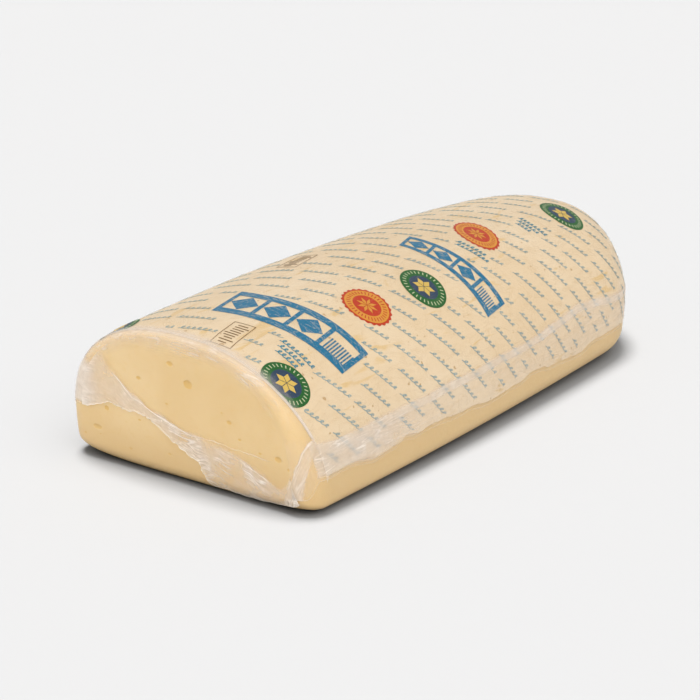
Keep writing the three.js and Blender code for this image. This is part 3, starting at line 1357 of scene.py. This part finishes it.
        # The band along the right side, the pale stripe at its top, and the left corner.
        low = falling(z, 35, 40) * (x > 0)
        below = level_of(self.stripe, along) - z
        below = below + 0.9 * self.ragged.rough(along / 30, girth * 0 + 2.5)
        below_top = rising(below, -0.8, 0.8) * rising(from_rim + blend(0.5, 5.2, low), 0, 1.4)
        in_band = off_hem * below_top
        stripe = below_top * falling(below, 3.2, 5.4)
        front = falling(along, 30, 105)
        mottled = 0.5 + 0.5 * self.folds.rough(along / 9, girth / 7)
        corner = rising(turn, 2.35, 2.55) * falling(from_rim, 0, 25) * off_hem
        rim, strip = self._round_rim(from_rim, girth, turn), self._up_strip(x, z)
        by_strip = on_rim * low
        veil = {
            "haze": np.maximum.reduce([
                self.stripe_haze * stripe * (0.8 + 0.2 * mottled),
                in_band * (0.12 + 0.4 * front * (0.7 + 0.3 * mottled)),
                self.corner_haze * corner,
                0.1 * by_strip * off_hem,
                rim["haze"],
                strip["haze"] * by_strip,
            ]),
            "creased": np.maximum.reduce([
                in_band * blend(0.25, 0.9, front),
                0.12 * corner,
                rim["creased"],
                strip["creased"] * by_strip,
            ]),
            "fold": z * 0 + FAR_OFF,
            "fold_shown": z * 0,
            "strip": strip["strip"],
            "strip_shown": strip["strip_shown"] * by_strip,
            # The painted highlight along the casing's edge, left off low on the right side.
            "edge": rim["edge"],
            "edge_shown": rim["edge_shown"] * (1 - low),
            "hem": above,
            "hem_shown": blend(0.12, 0.22, falling(from_rim, 0, 10)),
        }
        ridge = 0.3 * mottled * in_band * front + 0.2 * stripe
        ridge += rim["ridge"] + strip["ridge"] * by_strip
        ridge += 0.1 * self.folds.creases(along / 40 + girth / 50, girth / 22)
        top = self.hem.casing_lift(along, turn) + self.over_casing
        by_rim = (from_rim < 9) & (turn > 0.45) & (turn < 2.7)
        lengthwise = np.where(on_rim, from_rim + skin.rim(turn), along)
        uv = self._read_by((by_rim, girth, from_rim), (lengthwise, girth))
        uv = self._read_by((by_strip * strip["haze"] > 0.05, z, strip["across"]), uv.T)
        return blend(top, self.face_lift, np.sin(roll)) + ridge, veil, uv

    def _read_by(self, near: tuple[Array, Array, Array], other: Sequence[Array]) -> Array:
        """The places that creases are read by.

        Args:
            near: Where a form of its own lies, and the places lengthwise and across it.
            other: The places everywhere else.

        Returns:
            A pair of numbers for each vertex.
        """
        return np.where(near[0][:, None], np.stack(near[1:], -1), np.stack(other, -1))

    def _tear_line(self, rim_row: Array, share: Array) -> Array:
        """The torn edge over the cut, softened and jagged.

        Args:
            rim_row: The film's points where the rim meets the cut, from right to left.
            share: Shares of the way along the edge.

        Returns:
            Points across and up.
        """
        start, end = rim_row[0, [0, 2]] - [0, 0.5], rim_row[-1, [0, 2]] + [3.0, 0]
        corners = np.array([start, *self.tear, end])
        run = np.concatenate([[0], np.cumsum(np.hypot(*np.diff(corners, axis=0).T))])
        dense = np.linspace(0, 1, 400)
        kernel = np.hanning(11) / np.hanning(11).sum()
        free = np.sin(np.clip(share, 0, 1) * HALF) ** 0.5
        both = []
        for level, seed, reach in zip(corners.T, (0.5, 9.5), (0.7, 0.9)):
            padded = np.pad(np.interp(dense, run / run[-1], level), 5, mode="edge")
            soft = np.interp(share, dense, np.convolve(padded, kernel, "valid"))
            both.append(soft + reach * free * self.ragged.rough(share * 55, share * 0 + seed))
        return np.stack(both, -1)

    def _over_cut(
        self, up: Array, column: Array, rim_row: Array, whole: BVHTree
    ) -> tuple[Array, Veil, Array]:
        """The film over the cut, from its torn edge up to the rim.

        Args:
            up: Each vertex's share of the way from the torn edge to the rim.
            column: Its column.
            rim_row: The film's points where the rim meets the cut, from right to left.
            whole: The loaf's surface.

        Returns:
            Points in millimetres, the veil, and the places its creases are read by.
        """
        share = self.shares(np.arange(self.columns + 1), self.columns, 0.2)
        tear, rim = self._tear_line(rim_row, share)[column], rim_row[column]
        up = up - 0.1 * np.sin(up * FULL)
        flat = blend(tear, rim[:, [0, 2]], up[:, None])
        x, z = flat.T
        # The milky strip above the tear, with its main crease.
        from_crease = z - level_of(self.crease, x)
        left, right = falling(x, -44, -34), rising(x, -12, 2)
        under = level_of(self.upper, x) + 1.1 * self.ragged.rough(x / 9, z / 9) - z
        inside = eased(under / blend(2.4, 9.0, left) + blend(0.4, 0.15, left))
        patchy = 0.5 + 0.5 * self.folds.rough(x / 8, z / 6)
        milk = blend(0.42, 0.16 + 0.28 * patchy, right)
        milk = blend(milk, blend(0.36, 0.66, falling(x, -62, -48)), left)
        from_tear = np.hypot(*(flat - tear).T)
        to_rim = np.hypot(*(rim[:, [0, 2]] - flat).T)
        turn = np.arctan2(z / 66, x / 74)
        girth = (QUARTER - turn) * GIRTH_RADIUS
        from_rim = -QUARTER * self.skin.rim(turn) - to_rim
        round_rim, strip = self._round_rim(from_rim, girth, turn), self._up_strip(x, z)
        broken = blend(0.45, 1.0, eased(0.5 + 1.4 * self.fine(x / 5, z * 0 + 8.5)))
        fold_shown = blend(0.6, 0.26, rising(x, 4, 14)) * broken
        fold_shown = fold_shown * rising(x, -42, -36) * falling(x, 42, 56)
        veil = {
            "haze": np.maximum.reduce([inside * milk, round_rim["haze"], strip["haze"]]),
            "creased": np.maximum.reduce([
                inside * blend(1.0, 0.12, left),
                round_rim["creased"],
                strip["creased"],
            ]),
            "fold": from_crease + 0.5 * self.ragged.rough(x / 5, z * 0 + 4.5),
            "fold_shown": fold_shown,
            "strip": strip["strip"],
            "strip_shown": strip["strip_shown"],
            "edge": z * 0 + FAR_OFF,
            "edge_shown": z * 0,
            "hem": from_tear,
            "hem_shown": 0.3 + 0.3 * patchy,
        }
        ridge = inside * (0.22 * self.fine.creases((x + z) / 14, from_crease / 3) + 0.15 * patchy)
        ridge += 0.35 * hump(from_crease, 0.8) * fold_shown * (1 - 0.8 * right)
        ridge += round_rim["ridge"] + strip["ridge"] + 0.3 * hump(from_tear, 0.9)
        at_rim = self.skin.lean_shift(0.0, rim[:, 2]) - rim[:, 1]
        out_by = blend(self.face_lift + ridge, at_rim, up**8)
        beside_rim = (to_rim < 7) & (inside < 0.2)
        across = blend(from_crease, -under, right)
        uv = self._read_by((beside_rim, girth, from_rim), (x - 0.5 * z, across))
        uv = self._read_by((strip["haze"] > 0.2, z, strip["across"]), uv.T)
        return self._off_cut(x, z, out_by, whole), veil, uv

    def _off_cut(self, x: Array, z: Array, out_by: Array, whole: BVHTree) -> Array:
        """Points that stand off from the cut.

        Args:
            x: Places across the cut.
            z: Places up it.
            out_by: How far each stands off.
            whole: The loaf's surface.

        Returns:
            Points in millimetres.
        """
        before = self.skin.in_frame(np.stack([x, x * 0 - 60.0, z], -1))
        points = np.empty((len(x), 3))
        for i, origin in enumerate(before):
            hit, normal, _, _ = whole.ray_cast(Vector(origin), Vector((0, 1, 0)))
            out = Vector((normal.x * 0.4, -1.0, normal.z * 0.4)).normalized()
            points[i] = hit + out * (out_by[i] * MM)
        return self.skin.from_frame(points)

    def dress(self, piece: Piece) -> None:
        """Gives the film its finish."""
        declare(piece, FilmFinish(), Slot.FILM, "film")


# ---- The print ----


class Ink(Enum):
    """The inks of the print: name, display colour, and how worn and how scratched it is."""

    BLUE = ("blue", (8, 108, 144), 0.22, 0.45)
    PALE_BLUE = ("pale_blue", (138, 164, 168), 0.4, 0.0)
    FADED_BLUE = ("faded_blue", (148, 170, 170), 0.5, 0.0)
    MID_BLUE = ("mid_blue", (60, 134, 156), 0.3, 0.0)
    GREEN = ("green", (22, 92, 32), 0.12, 0.0)
    NAVY = ("navy", (38, 60, 84), 0.12, 0.0)
    STRAW = ("straw", (212, 178, 86), 0.12, 0.0)
    CREAM = ("cream", (190, 198, 156), 0.2, 0.0)
    RED = ("red", (188, 50, 4), 0.1, 0.0)
    ORANGE = ("orange", (214, 144, 44), 0.1, 0.0)
    BROWN = ("brown", (124, 92, 52), 0.4, 0.0)


@dataclass
class Printing:
    """The fields of colour and simple shapes printed on the casing.

    Shapes are drawn flat, in millimetres, with x round the loaf from the crown and y along it,
    and then laid on the casing.
    """

    skin: Skin
    hem: Hem
    thickness: float = 0.04
    layer: float = 0.035
    # Enough to clear the casing's crinkles.
    clearance: float = 0.16
    flats: dict[Ink, list[Piece]] = field(default_factory=dict)
    blocks: list[Block] = field(default_factory=list)

    def rectangle(self, width: float, height: float, step: float = 2.5) -> Piece:
        """A flat rectangle round the origin.

        Args:
            width: Its size across.
            height: Its size up.
            step: About how finely it is divided, so that it can bend.

        Returns:
            The rectangle.
        """
        columns, rows = (max(1, round(size / step)) for size in (width, height))
        flat, _, _ = added_grid("flat", rows, columns)
        lay(flat, vertices_of(flat) * np.array([width, height, 1]))
        return flat

    def disc(self, radius: float, hole: float, corners: int = 96) -> Piece:
        """A flat disc, or a ring where its hole has a radius.

        Args:
            radius: Its radius.
            hole: Its hole's radius, or 0 for none.
            corners: Number of its corners.

        Returns:
            The disc, inset finely enough to bend.
        """
        bpy.ops.mesh.primitive_circle_add(vertices=corners, radius=radius, fill_type="NGON")
        flat = newest("flat")
        insets = max(2, round((radius - hole) / 2.5))
        inset = [lambda: bpy.ops.mesh.inset(thickness=(radius - hole) / insets)]
        emptied = [lambda: bpy.ops.mesh.delete(type="FACE")]
        in_edit_mode(flat, *(inset * insets + emptied if hole else inset * (insets - 1)))
        return flat

    def lozenge(self, width: float, height: float) -> Piece:
        """A flat lozenge round the origin.

        Args:
            width: The distance between its points across.
            height: The distance between its points up.

        Returns:
            The lozenge.
        """
        flat, _, _ = added_grid("flat", 6, 6)
        x, y = vertices_of(flat)[:, :2].T
        lay(flat, np.stack([(x - y) * width / 2, (x + y) * height / 2, x * 0], -1))
        return flat

    def ribbon(self, line: Array, width: float) -> Piece:
        """A flat ribbon of one width.

        Args:
            line: The points it runs along.
            width: Its width.

        Returns:
            The ribbon.
        """
        flat, side, step = added_grid("flat", 1, len(line) - 1)
        ahead = np.gradient(line, axis=0)
        aside = np.stack([-ahead[:, 1], ahead[:, 0]], -1)
        aside /= np.linalg.norm(aside, axis=1)[:, None] + 1e-9
        offset = aside[step] * ((side - 0.5) * width)[:, None]
        lay(flat, np.column_stack([line[step] + offset, np.zeros(len(step))]))
        return flat

    def put(self, ink: Ink, flat: Piece, place: Placing, layer: int = 0) -> None:
        """Places a flat shape on the unrolled casing.

        Args:
            ink: The ink it is printed in.
            flat: The shape, round its own origin.
            place: Maps the shape's points to the unrolled casing.
            layer: Which layer of ink it is, from 0 at the casing.
        """
        at = place(vertices_of(flat)[:, :2])
        lay(flat, np.column_stack([at, np.full(len(at), float(layer))]))
        self.flats.setdefault(ink, []).append(flat)

    def keep_clear_of(self, corners: Sequence[Sequence[float]], margin: float = 1.5) -> None:
        """Keeps the scribbles off a four-cornered field.

        Args:
            corners: Its corners in order round it.
            margin: How far the scribbles stay from it.
        """
        ring = np.array(corners)
        middle = ring.mean(axis=0)
        edges = list(zip(ring, np.roll(ring, -1, axis=0)))

        def inside(x: Array, y: Array) -> Array:
            """Where a place is in the field or too near it.

            Args:
                x: Distance round the loaf from the crown.
                y: Distance from the cut.

            Returns:
                True where it is.
            """
            result = np.ones(np.shape(x), dtype=bool)
            for a, b in edges:
                out = np.array([b[1] - a[1], a[0] - b[0]]) / np.linalg.norm(b - a)
                out = out * np.sign(out @ (a - middle))
                result &= (x - a[0]) * out[0] + (y - a[1]) * out[1] < margin
            return result

        self.blocks.append(inside)

    def is_clear(self, girth: Array, along: Array) -> Array:
        """Where the unrolled casing is visible and holds no other print.

        Args:
            girth: Distance round the loaf from the crown.
            along: Distance from the cut.

        Returns:
            True where it is.
        """
        turn = self.skin.turn_at_girth(girth, along)
        bare = self.skin.points(along, turn)
        clear = (along > self.skin.rim(turn) + 3.5) & (along < self.skin.length - 20)
        clear &= (np.abs(girth) < self.skin.girth_reach - 8) & (self.hem.above(bare, along) > 4.5)
        for block in self.blocks:
            clear &= ~block(girth, along)
        return clear

    def finish(self) -> None:
        """Lays every ink's shapes on the casing, one piece to an ink."""
        for ink, flats in self.flats.items():
            name, colour, *worn = ink.value
            piece = joined("print_" + name, flats)
            girth, along, layer = vertices_of(piece).T
            turn = self.skin.turn_at_girth(girth, along)
            lift = self.hem.casing_lift(along, turn) + self.clearance + self.layer * (1 + layer)
            lay(piece, self.skin.in_frame(self.skin.points(along, turn, lift)))
            facing_away(piece)
            with_thickness(piece, self.thickness, -1.0)
            declare(piece, InkFinish(name, srgb(*colour), *worn), Slot.CASING)


@dataclass
class Field:
    """A four-cornered printed field, drawn as a rectangle and then stretched to its corners."""

    printing: Printing
    # Corners on the unrolled casing: near left, near right, far left, far right.
    corners: Line
    length: float
    width: float

    def place(self, at: Array) -> Array:
        """Maps the field's own rectangle to its four corners.

        Args:
            at: Points of the rectangle, round its middle.

        Returns:
            Points of the unrolled casing.
        """
        near_left, near_right, far_left, far_right = (np.array(c) for c in self.corners)
        u = (at[:, 0] / self.length + 0.5)[:, None]
        v = (at[:, 1] / self.width + 0.5)[:, None]
        return blend(blend(near_left, near_right, u), blend(far_left, far_right, u), v)

    def put(self, ink: Ink, flat: Piece, across: float, up: float) -> None:
        """Prints a shape that stands off from the field's middle."""
        self.printing.put(ink, flat, lambda at: self.place(at + np.array([across, up])))

    def keep_clear(self, margin: float) -> None:
        """Keeps the scribbles off the field."""
        near_left, near_right, far_left, far_right = self.corners
        self.printing.keep_clear_of((near_left, near_right, far_right, far_left), margin)


@dataclass
class Banner(Field):
    """A blue band of four framed windows, each with a plain lozenge or a hatch."""

    length: float = 73.0
    width: float = 24.0
    bar: float = 4.5
    post: float = 2.3
    windows: int = 4
    lozenge: tuple[float, float] = (0.84, 0.94)
    hatch: int = 9
    hatch_line: float = 0.8
    hatch_gap: float = 1.6

    def draw(self) -> None:
        """Draws the bars, the posts and what the windows hold."""
        p = self.printing
        for side in (-1, 1):
            bar = p.rectangle(self.length, self.bar)
            self.put(Ink.BLUE, bar, 0, side * (self.width - self.bar) / 2)
        inner = self.width - 2 * self.bar
        pitch = (self.length - self.post) / self.windows
        start = -(self.length - self.post) / 2
        for i in range(self.windows + 1):
            self.put(Ink.BLUE, p.rectangle(self.post, inner), start + i * pitch, 0)
        for i in range(self.windows - 1):
            lozenge = p.lozenge(pitch * self.lozenge[0], inner * self.lozenge[1])
            self.put(Ink.BLUE, lozenge, start + (i + 0.5) * pitch, 0)
        last = start + (self.windows - 1) * pitch + self.post + 1.0
        for i in range(self.hatch):
            line = p.rectangle(self.hatch_line, inner * 0.62)
            self.put(Ink.BLUE, line, last + i * self.hatch_gap, -inner * 0.18)
        self.keep_clear(1.5)


@dataclass(frozen=True)
class SealStyle:
    """What a kind of seal looks like, with lengths as shares of its radius."""

    # Each band's ink, outer radius and inner radius, from the lowest layer up.
    bands: tuple[tuple[Ink, float, float], ...]
    # The petals' ink, reach and width, and their number.
    petals: tuple[Ink, float, float, int]
    # The ticks' ink, distance out and length, and their number.
    ticks: tuple[Ink, float, float, int]
    # The number of teeth round its edge.
    teeth: int = 0


RED_SEAL = SealStyle(
    bands=((Ink.RED, 1.0, 0.0), (Ink.ORANGE, 0.9, 0.58)),
    petals=(Ink.ORANGE, 0.42, 0.14, 8),
    ticks=(Ink.RED, 0.74, 0.16, 34),
    teeth=24,
)
GREEN_SEAL = SealStyle(
    bands=((Ink.GREEN, 1.0, 0.62), (Ink.NAVY, 0.62, 0.0)),
    petals=(Ink.STRAW, 0.46, 0.26, 6),
    ticks=(Ink.CREAM, 0.82, 0.15, 30),
)


@dataclass
class Seal:
    """A round printed seal: bands of ink round a rosette of petals."""

    printing: Printing
    style: SealStyle
    centre: tuple[float, float]
    radii: tuple[float, float]
    tilt: float
    # Where the casing ends under it, as a distance along, or None where it lies clear of the end.
    near_edge: Optional[float] = None
    tooth: float = 0.035
    tick_width: float = 0.42
    # How many times its unit disc the seal is first drawn.
    drawn_at: float = 10.0

    def place(self, at: Array) -> Array:
        """Stretches the unit disc to the seal's two radii, turned, at its centre."""
        return turned(at * np.array(self.radii), self.tilt) + np.array(self.centre)

    def draw(self) -> None:
        """Draws the bands, the ticks round them and the rosette."""
        p, style, scale = self.printing, self.style, self.drawn_at
        for layer, (ink, outer, inner) in enumerate(style.bands):
            flat = p.disc(outer * scale, inner * scale)
            if style.teeth and not layer:
                at = vertices_of(flat)
                edge = np.hypot(at[:, 0], at[:, 1]) > outer * scale - 0.01
                tooth = self.tooth * edge * np.cos(style.teeth * np.arctan2(at[:, 1], at[:, 0]))
                lay(flat, at * (1 + tooth)[:, None])
            self._put(ink, flat, layer)
        top = len(style.bands)
        ink, reach, width, count = style.petals
        for i in range(count):
            petal = p.lozenge(reach * scale, width * scale)
            self._spoke(ink, petal, reach * scale * 0.55, i / count, top)
        ink, out, length, count = style.ticks
        for i in range(count):
            tick = p.rectangle(length * scale, self.tick_width, 9)
            self._spoke(ink, tick, out * scale, (i + 0.5) / count, top)
        reach = np.array(self.radii) + 1.5

        def inside(girth: Array, along: Array) -> Array:
            """True where a place is in the seal or too near it."""
            off = np.stack([girth, along], -1) - np.array(self.centre)
            return np.linalg.norm(turned(off, -self.tilt) / reach, axis=-1) < 1

        p.blocks.append(inside)

    def _spoke(self, ink: Ink, flat: Piece, out: float, share: float, layer: int) -> None:
        """Prints a shape that stands out from the seal's middle.

        Args:
            ink: Its ink.
            flat: The shape.
            out: How far out it stands.
            share: How far round it stands, as a share of a full turn.
            layer: Its layer of ink.
        """
        at = turned(vertices_of(flat)[:, :2] + np.array([out, 0]), FULL * share)
        lay(flat, np.column_stack([at, np.zeros(len(at))]))
        self._put(ink, flat, layer)

    def _put(self, ink: Ink, flat: Piece, layer: int) -> None:
        """Prints a shape, cut off where the casing ends.

        Args:
            ink: Its ink.
            flat: The shape, as it is first drawn.
            layer: Its layer of ink.
        """
        lay(flat, vertices_of(flat) / self.drawn_at)
        p = self.printing
        p.put(ink, flat, self.place, layer)
        if self.near_edge is None:
            return
        plane = dict(plane_co=(self.centre[0], self.near_edge, 0), plane_no=(-0.1, 1, 0))
        in_edit_mode(flat, lambda: bpy.ops.mesh.bisect(clear_inner=True, **plane))
        if not flat.data.polygons:
            p.flats[ink].remove(flat)
            bpy.data.objects.remove(flat)


@dataclass
class Stamp(Field):
    """A small framed stamp with plain bars in it."""

    length: float = 11.0
    width: float = 24.0
    line: float = 0.3
    bar: float = 0.6
    bar_gap: float = 2.3
    bars: int = 9

    def draw(self) -> None:
        """Draws the frame and the bars."""
        p = self.printing
        for side in (-1, 1):
            across = p.rectangle(self.length, self.line)
            self.put(Ink.BROWN, across, 0, side * (self.width - self.line) / 2)
            up = p.rectangle(self.line, self.width - 2 * self.line)
            self.put(Ink.BROWN, up, side * (self.length - self.line) / 2, 0)
        rng = np.random.default_rng(3)
        for i in range(self.bars):
            bar = p.rectangle(rng.uniform(0.35, 0.75) * self.length, self.bar)
            self.put(Ink.BROWN, bar, rng.uniform(-1, 1), (i - self.bars // 2) * self.bar_gap)
        self.keep_clear(0.5)


@dataclass
class Scribbles:
    """Rows of small pale pen loops that run round the loaf, and a few darker ones."""

    printing: Printing
    row_gap: float = 12.9
    first_row: float = 10.0
    # The rows' numbers run from before to rows, since they slant along the loaf.
    before: int = -6
    rows: int = 27
    # How far round the loaf they run, from the crown.
    span: tuple[float, float] = (-132.0, 128.0)
    pitch: float = 21.5
    # The least and the most of its pitch that a word takes up.
    words: tuple[float, float] = (0.76, 0.86)
    loop: float = 2.6
    roundness: float = 0.4
    high: float = 1.05
    tall: float = 1.8
    stroke: float = 0.36
    dark_stroke: float = 0.5
    lean: float = 0.25
    # The fewest points along a word that is cut short.
    shortest: int = 18
    seed: int = 8

    def drift(self, girth: Array) -> Array:
        """How far along the loaf a row has slanted at a place round it."""
        return 0.28 * girth + 0.0045 * np.maximum(girth - 35, 0) ** 2

    def looped(self, length: float, rng: np.random.Generator) -> Array:
        """A run of pen loops of uneven height, with a tall start.

        Args:
            length: Its length.
            rng: What its heights are drawn from.

        Returns:
            Points along it.
        """
        loops = max(3, round(length / self.loop))
        t = np.linspace(0, loops, loops * 10 + 1)
        heights = rng.uniform(0.85, 1.15, loops + 1)
        heights[0] *= self.tall
        heights[rng.integers(2, loops)] *= self.tall
        y = -np.cos(t * FULL)
        y = self.high * np.where(y > 0, y * np.interp(t, np.arange(loops + 1), heights), y)
        x = self.loop * (t + self.roundness * np.sin(t * FULL))
        return np.stack([x + self.lean * y, y], -1)

    def draw(self) -> None:
        """Draws the rows, each word cut short where it meets other print."""
        rng = np.random.default_rng(self.seed)
        for row in range(self.before, self.rows):
            start = self.span[0] + (row % 2) * self.pitch / 2 + rng.uniform(0, 6)
            while start < self.span[1]:
                line = self.looped(rng.uniform(*self.words) * self.pitch, rng)
                girth = line[:, 0] + start
                along = self.first_row + row * self.row_gap + self.drift(girth) + line[:, 1]
                clear = self.printing.is_clear(girth, along)
                breaks = np.flatnonzero(np.diff(np.concatenate([[0], clear, [0]])))
                runs = sorted(zip(breaks[::2], breaks[1::2]), key=lambda run: run[0] - run[1])
                if runs and runs[0][1] - runs[0][0] > self.shortest:
                    kept = np.stack([girth, along], -1)[slice(*runs[0])]
                    ink = Ink.PALE_BLUE if start > 0 else Ink.FADED_BLUE
                    self._write(ink, kept, self.stroke)
                start += self.pitch + rng.uniform(-1.0, 1.0)

    def _write(self, ink: Ink, line: Array, stroke: float) -> None:
        """Prints a stroke along a line that is already in its place."""
        self.printing.put(ink, self.printing.ribbon(line, stroke), lambda at: at)

    def cluster(self, girth: float, along: float, lengths: Sequence[float], slant: float) -> None:
        """Draws a few darker lines under one another.

        Args:
            girth: Where the first one starts, round the loaf.
            along: The same along it.
            lengths: The lines' lengths.
            slant: How far they climb for each millimetre of their run.
        """
        rng = np.random.default_rng(int(along))
        for i, length in enumerate(lengths):
            line = self.looped(length, rng) + np.array([i * 2.0, i * -3.9])
            line[:, 1] += slant * line[:, 0]
            self._write(Ink.MID_BLUE, line + np.array([girth, along]), self.dark_stroke)
        far, low = girth + max(lengths), along - 4 * len(lengths)
        climb = slant * max(lengths)
        corners = ((girth, low), (far, low + climb), (far, along + 3 + climb), (girth, along + 3))
        self.printing.keep_clear_of(corners, 0.5)


@dataclass
class CasingPrint:
    """All the print, and where it lies on the unrolled casing: round it, then along it."""

    printing: Printing
    # Corners: near left, near right, far left, far right.
    banners: tuple[Line, ...] = (
        ((-4.6, 31.9), (67.0, 43.1), (-10.5, 59.6), (64.3, 64.9)),
        ((7.1, 157.6), (72.1, 154.1), (1.7, 174.5), (69.1, 172.0)),
    )
    stamps: tuple[Line, ...] = (
        ((18.1, 5.0), (29.0, 6.3), (13.4, 27.4), (24.2, 29.5)),
        ((-24.0, 100.0), (-13.5, 102.0), (-28.0, 122.0), (-17.5, 124.0)),
    )
    # Each seal's style, centre, radii and tilt, and where the casing ends under it.
    seals: tuple[tuple, ...] = (
        (RED_SEAL, (40.9, 89.4), (14.2, 11.6), -0.4),
        (RED_SEAL, (21.6, 206.6), (18.7, 10.6), -0.59),
        (GREEN_SEAL, (59.0, 11.6), (12.9, 10.6), 0.1, 4.6),
        (GREEN_SEAL, (43.8, 130.3), (14.7, 11.3), -0.42),
        (GREEN_SEAL, (27.9, 280.5), (16.5, 10.4), -0.45),
        (GREEN_SEAL, (-45.0, 10.5), (13.0, 10.0), -0.3, 3.4),
    )
    # Each cluster's place, the lengths of its lines, and its slant.
    clusters: tuple[tuple[float, float, tuple[float, ...], float], ...] = (
        (38.0, 31.0, (20, 16, 12), 0.0),
        (22.0, 188.0, (18, 20), 0.05),
        (20.0, 250.0, (20, 16, 10), -0.2),
    )

    def draw(self) -> None:
        """Draws it all, the scribbles last because they keep clear of the rest, and lays it."""
        for corners in self.banners:
            Banner(self.printing, corners).draw()
        for seal in self.seals:
            Seal(self.printing, *seal).draw()
        for corners in self.stamps:
            Stamp(self.printing, corners).draw()
        scribbles = Scribbles(self.printing)
        for cluster in self.clusters:
            scribbles.cluster(*cluster)
        scribbles.draw()
        self.printing.finish()


# ---- The studio ----


@dataclass(frozen=True)
class Sun:
    """One distant light, either for the floor alone or for all but the floor."""

    name: str
    # The direction from the loaf to the light.
    towards: Triple
    # Its strength on a face turned to it, in watts per square metre, and its width in degrees.
    power: float
    spread: float
    for_floor: bool

    def hang(self, floor: Piece, tint: Colour) -> None:
        """Adds the light.

        Args:
            floor: The floor.
            tint: The light's colour where it is for the floor.
        """
        data = bpy.data.lights.new(self.name, "SUN")
        data.energy, data.angle = self.power, math.radians(self.spread)
        if self.for_floor:
            data.color = tint
        light = bpy.data.objects.new(self.name, data)
        light.rotation_euler = (-Vector(self.towards)).to_track_quat("-Z", "Y").to_euler()
        bpy.context.scene.collection.objects.link(light)
        lit = bpy.data.collections.new(self.name + "_falls_on")
        lit.objects.link(floor)
        state = "INCLUDE" if self.for_floor else "EXCLUDE"
        lit.collection_objects[0].light_linking.link_state = state
        light.light_linking.receiver_collection = lit


@dataclass(frozen=True)
class Studio:
    """Floor, light and camera."""

    azimuth: float = 36.87
    elevation: float = 18.43
    distance: float = 1150.0
    focal_pixels: float = 2286.51
    image_pixels: float = 700.0
    sensor: float = 36.0
    aim: Triple = (1.19, 124.23, 33.57)
    # The sky's strength, and the heights between which it changes.
    horizon: float = 0.62
    zenith: float = 0.54
    sky_change: tuple[float, float] = (0.05, 0.6)
    # Warm, against the floor's faint blue.
    floor_light: Colour = (1.0, 0.931, 0.861)
    suns: tuple[Sun, ...] = (
        Sun("overhead", (-0.09, -0.05, 1.0), 9.75, 21, True),
        Sun("overhead_wide", (0.7, -0.35, 1.0), 4.1, 60, True),
        Sun("front", (0.8, -1.02, 1.5), 1.97, 50, False),
        Sun("left", (-1.0, -0.15, 0.35), 0.65, 60, False),
    )

    def camera(self, skin: Skin) -> None:
        """Sets the camera by its azimuth, elevation and distance from the aim.

        Args:
            skin: The loaf's skin, which says where the aim is in the frame.
        """
        a, e = math.radians(self.azimuth), math.radians(self.elevation)
        back = np.array([math.sin(a) * math.cos(e), -math.cos(a) * math.cos(e), math.sin(e)])
        place = skin.in_frame(np.array(self.aim) + back * self.distance)
        data = bpy.data.cameras.new("camera")
        data.sensor_width = self.sensor
        data.lens = self.focal_pixels * self.sensor / self.image_pixels
        data.clip_start, data.clip_end = 0.05, 60
        camera = bpy.data.objects.new("camera", data)
        camera.location = place
        camera.rotation_euler = Vector(-back).to_track_quat("-Z", "Y").to_euler()
        bpy.context.scene.collection.objects.link(camera)
        bpy.context.scene.camera = camera

    def floor(self) -> Piece:
        """Lays a wide pale floor under the loaf.

        Returns:
            The floor.
        """
        bpy.ops.mesh.primitive_circle_add(vertices=96, radius=9, fill_type="NGON")
        floor = newest("floor")
        floor.data.materials.append(FloorFinish().material())
        return floor

    def light(self, floor: Piece) -> None:
        """Lights the loaf softly from all round and the front, and the floor from overhead.

        Args:
            floor: The floor.
        """
        world = bpy.data.worlds.new("studio")
        bpy.context.scene.world = world
        world.use_nodes = True
        nodes, links = world.node_tree.nodes, world.node_tree.links
        split = nodes.new("ShaderNodeSeparateXYZ")
        links.new(nodes.new("ShaderNodeTexCoord").outputs["Generated"], split.inputs[0])
        fall = nodes.new("ShaderNodeMapRange")
        fall.interpolation_type = "SMOOTHSTEP"
        ends = (*self.sky_change, self.horizon, self.zenith)
        for key, value in zip(("From Min", "From Max", "To Min", "To Max"), ends):
            fall.inputs[key].default_value = value
        links.new(split.outputs["Z"], fall.inputs["Value"])
        links.new(fall.outputs["Result"], nodes["Background"].inputs["Strength"])
        nodes["Background"].inputs["Color"].default_value = (1, 1, 1, 1)
        for sun in self.suns:
            sun.hang(floor, self.floor_light)
        bpy.context.scene.view_settings.view_transform = "Standard"
        bpy.context.scene.view_settings.look = "None"


def main() -> None:
    """Builds the pieces in order."""
    logging.basicConfig(level=logging.INFO, format="%(name)s: %(message)s")
    bpy.ops.object.select_all(action="DESELECT")
    skin = Skin()
    hem = Hem(skin)
    paste = Paste(skin)
    cheese, whole = paste.build()
    paste.dress(cheese)
    casing = Casing(skin, hem)
    casing.dress(casing.build())
    CasingPrint(Printing(skin, hem)).draw()
    film = Film(skin, hem)
    film.dress(film.build(whole))
    studio = Studio()
    studio.light(studio.floor())
    studio.camera(skin)


if __name__ == "__main__":
    main()
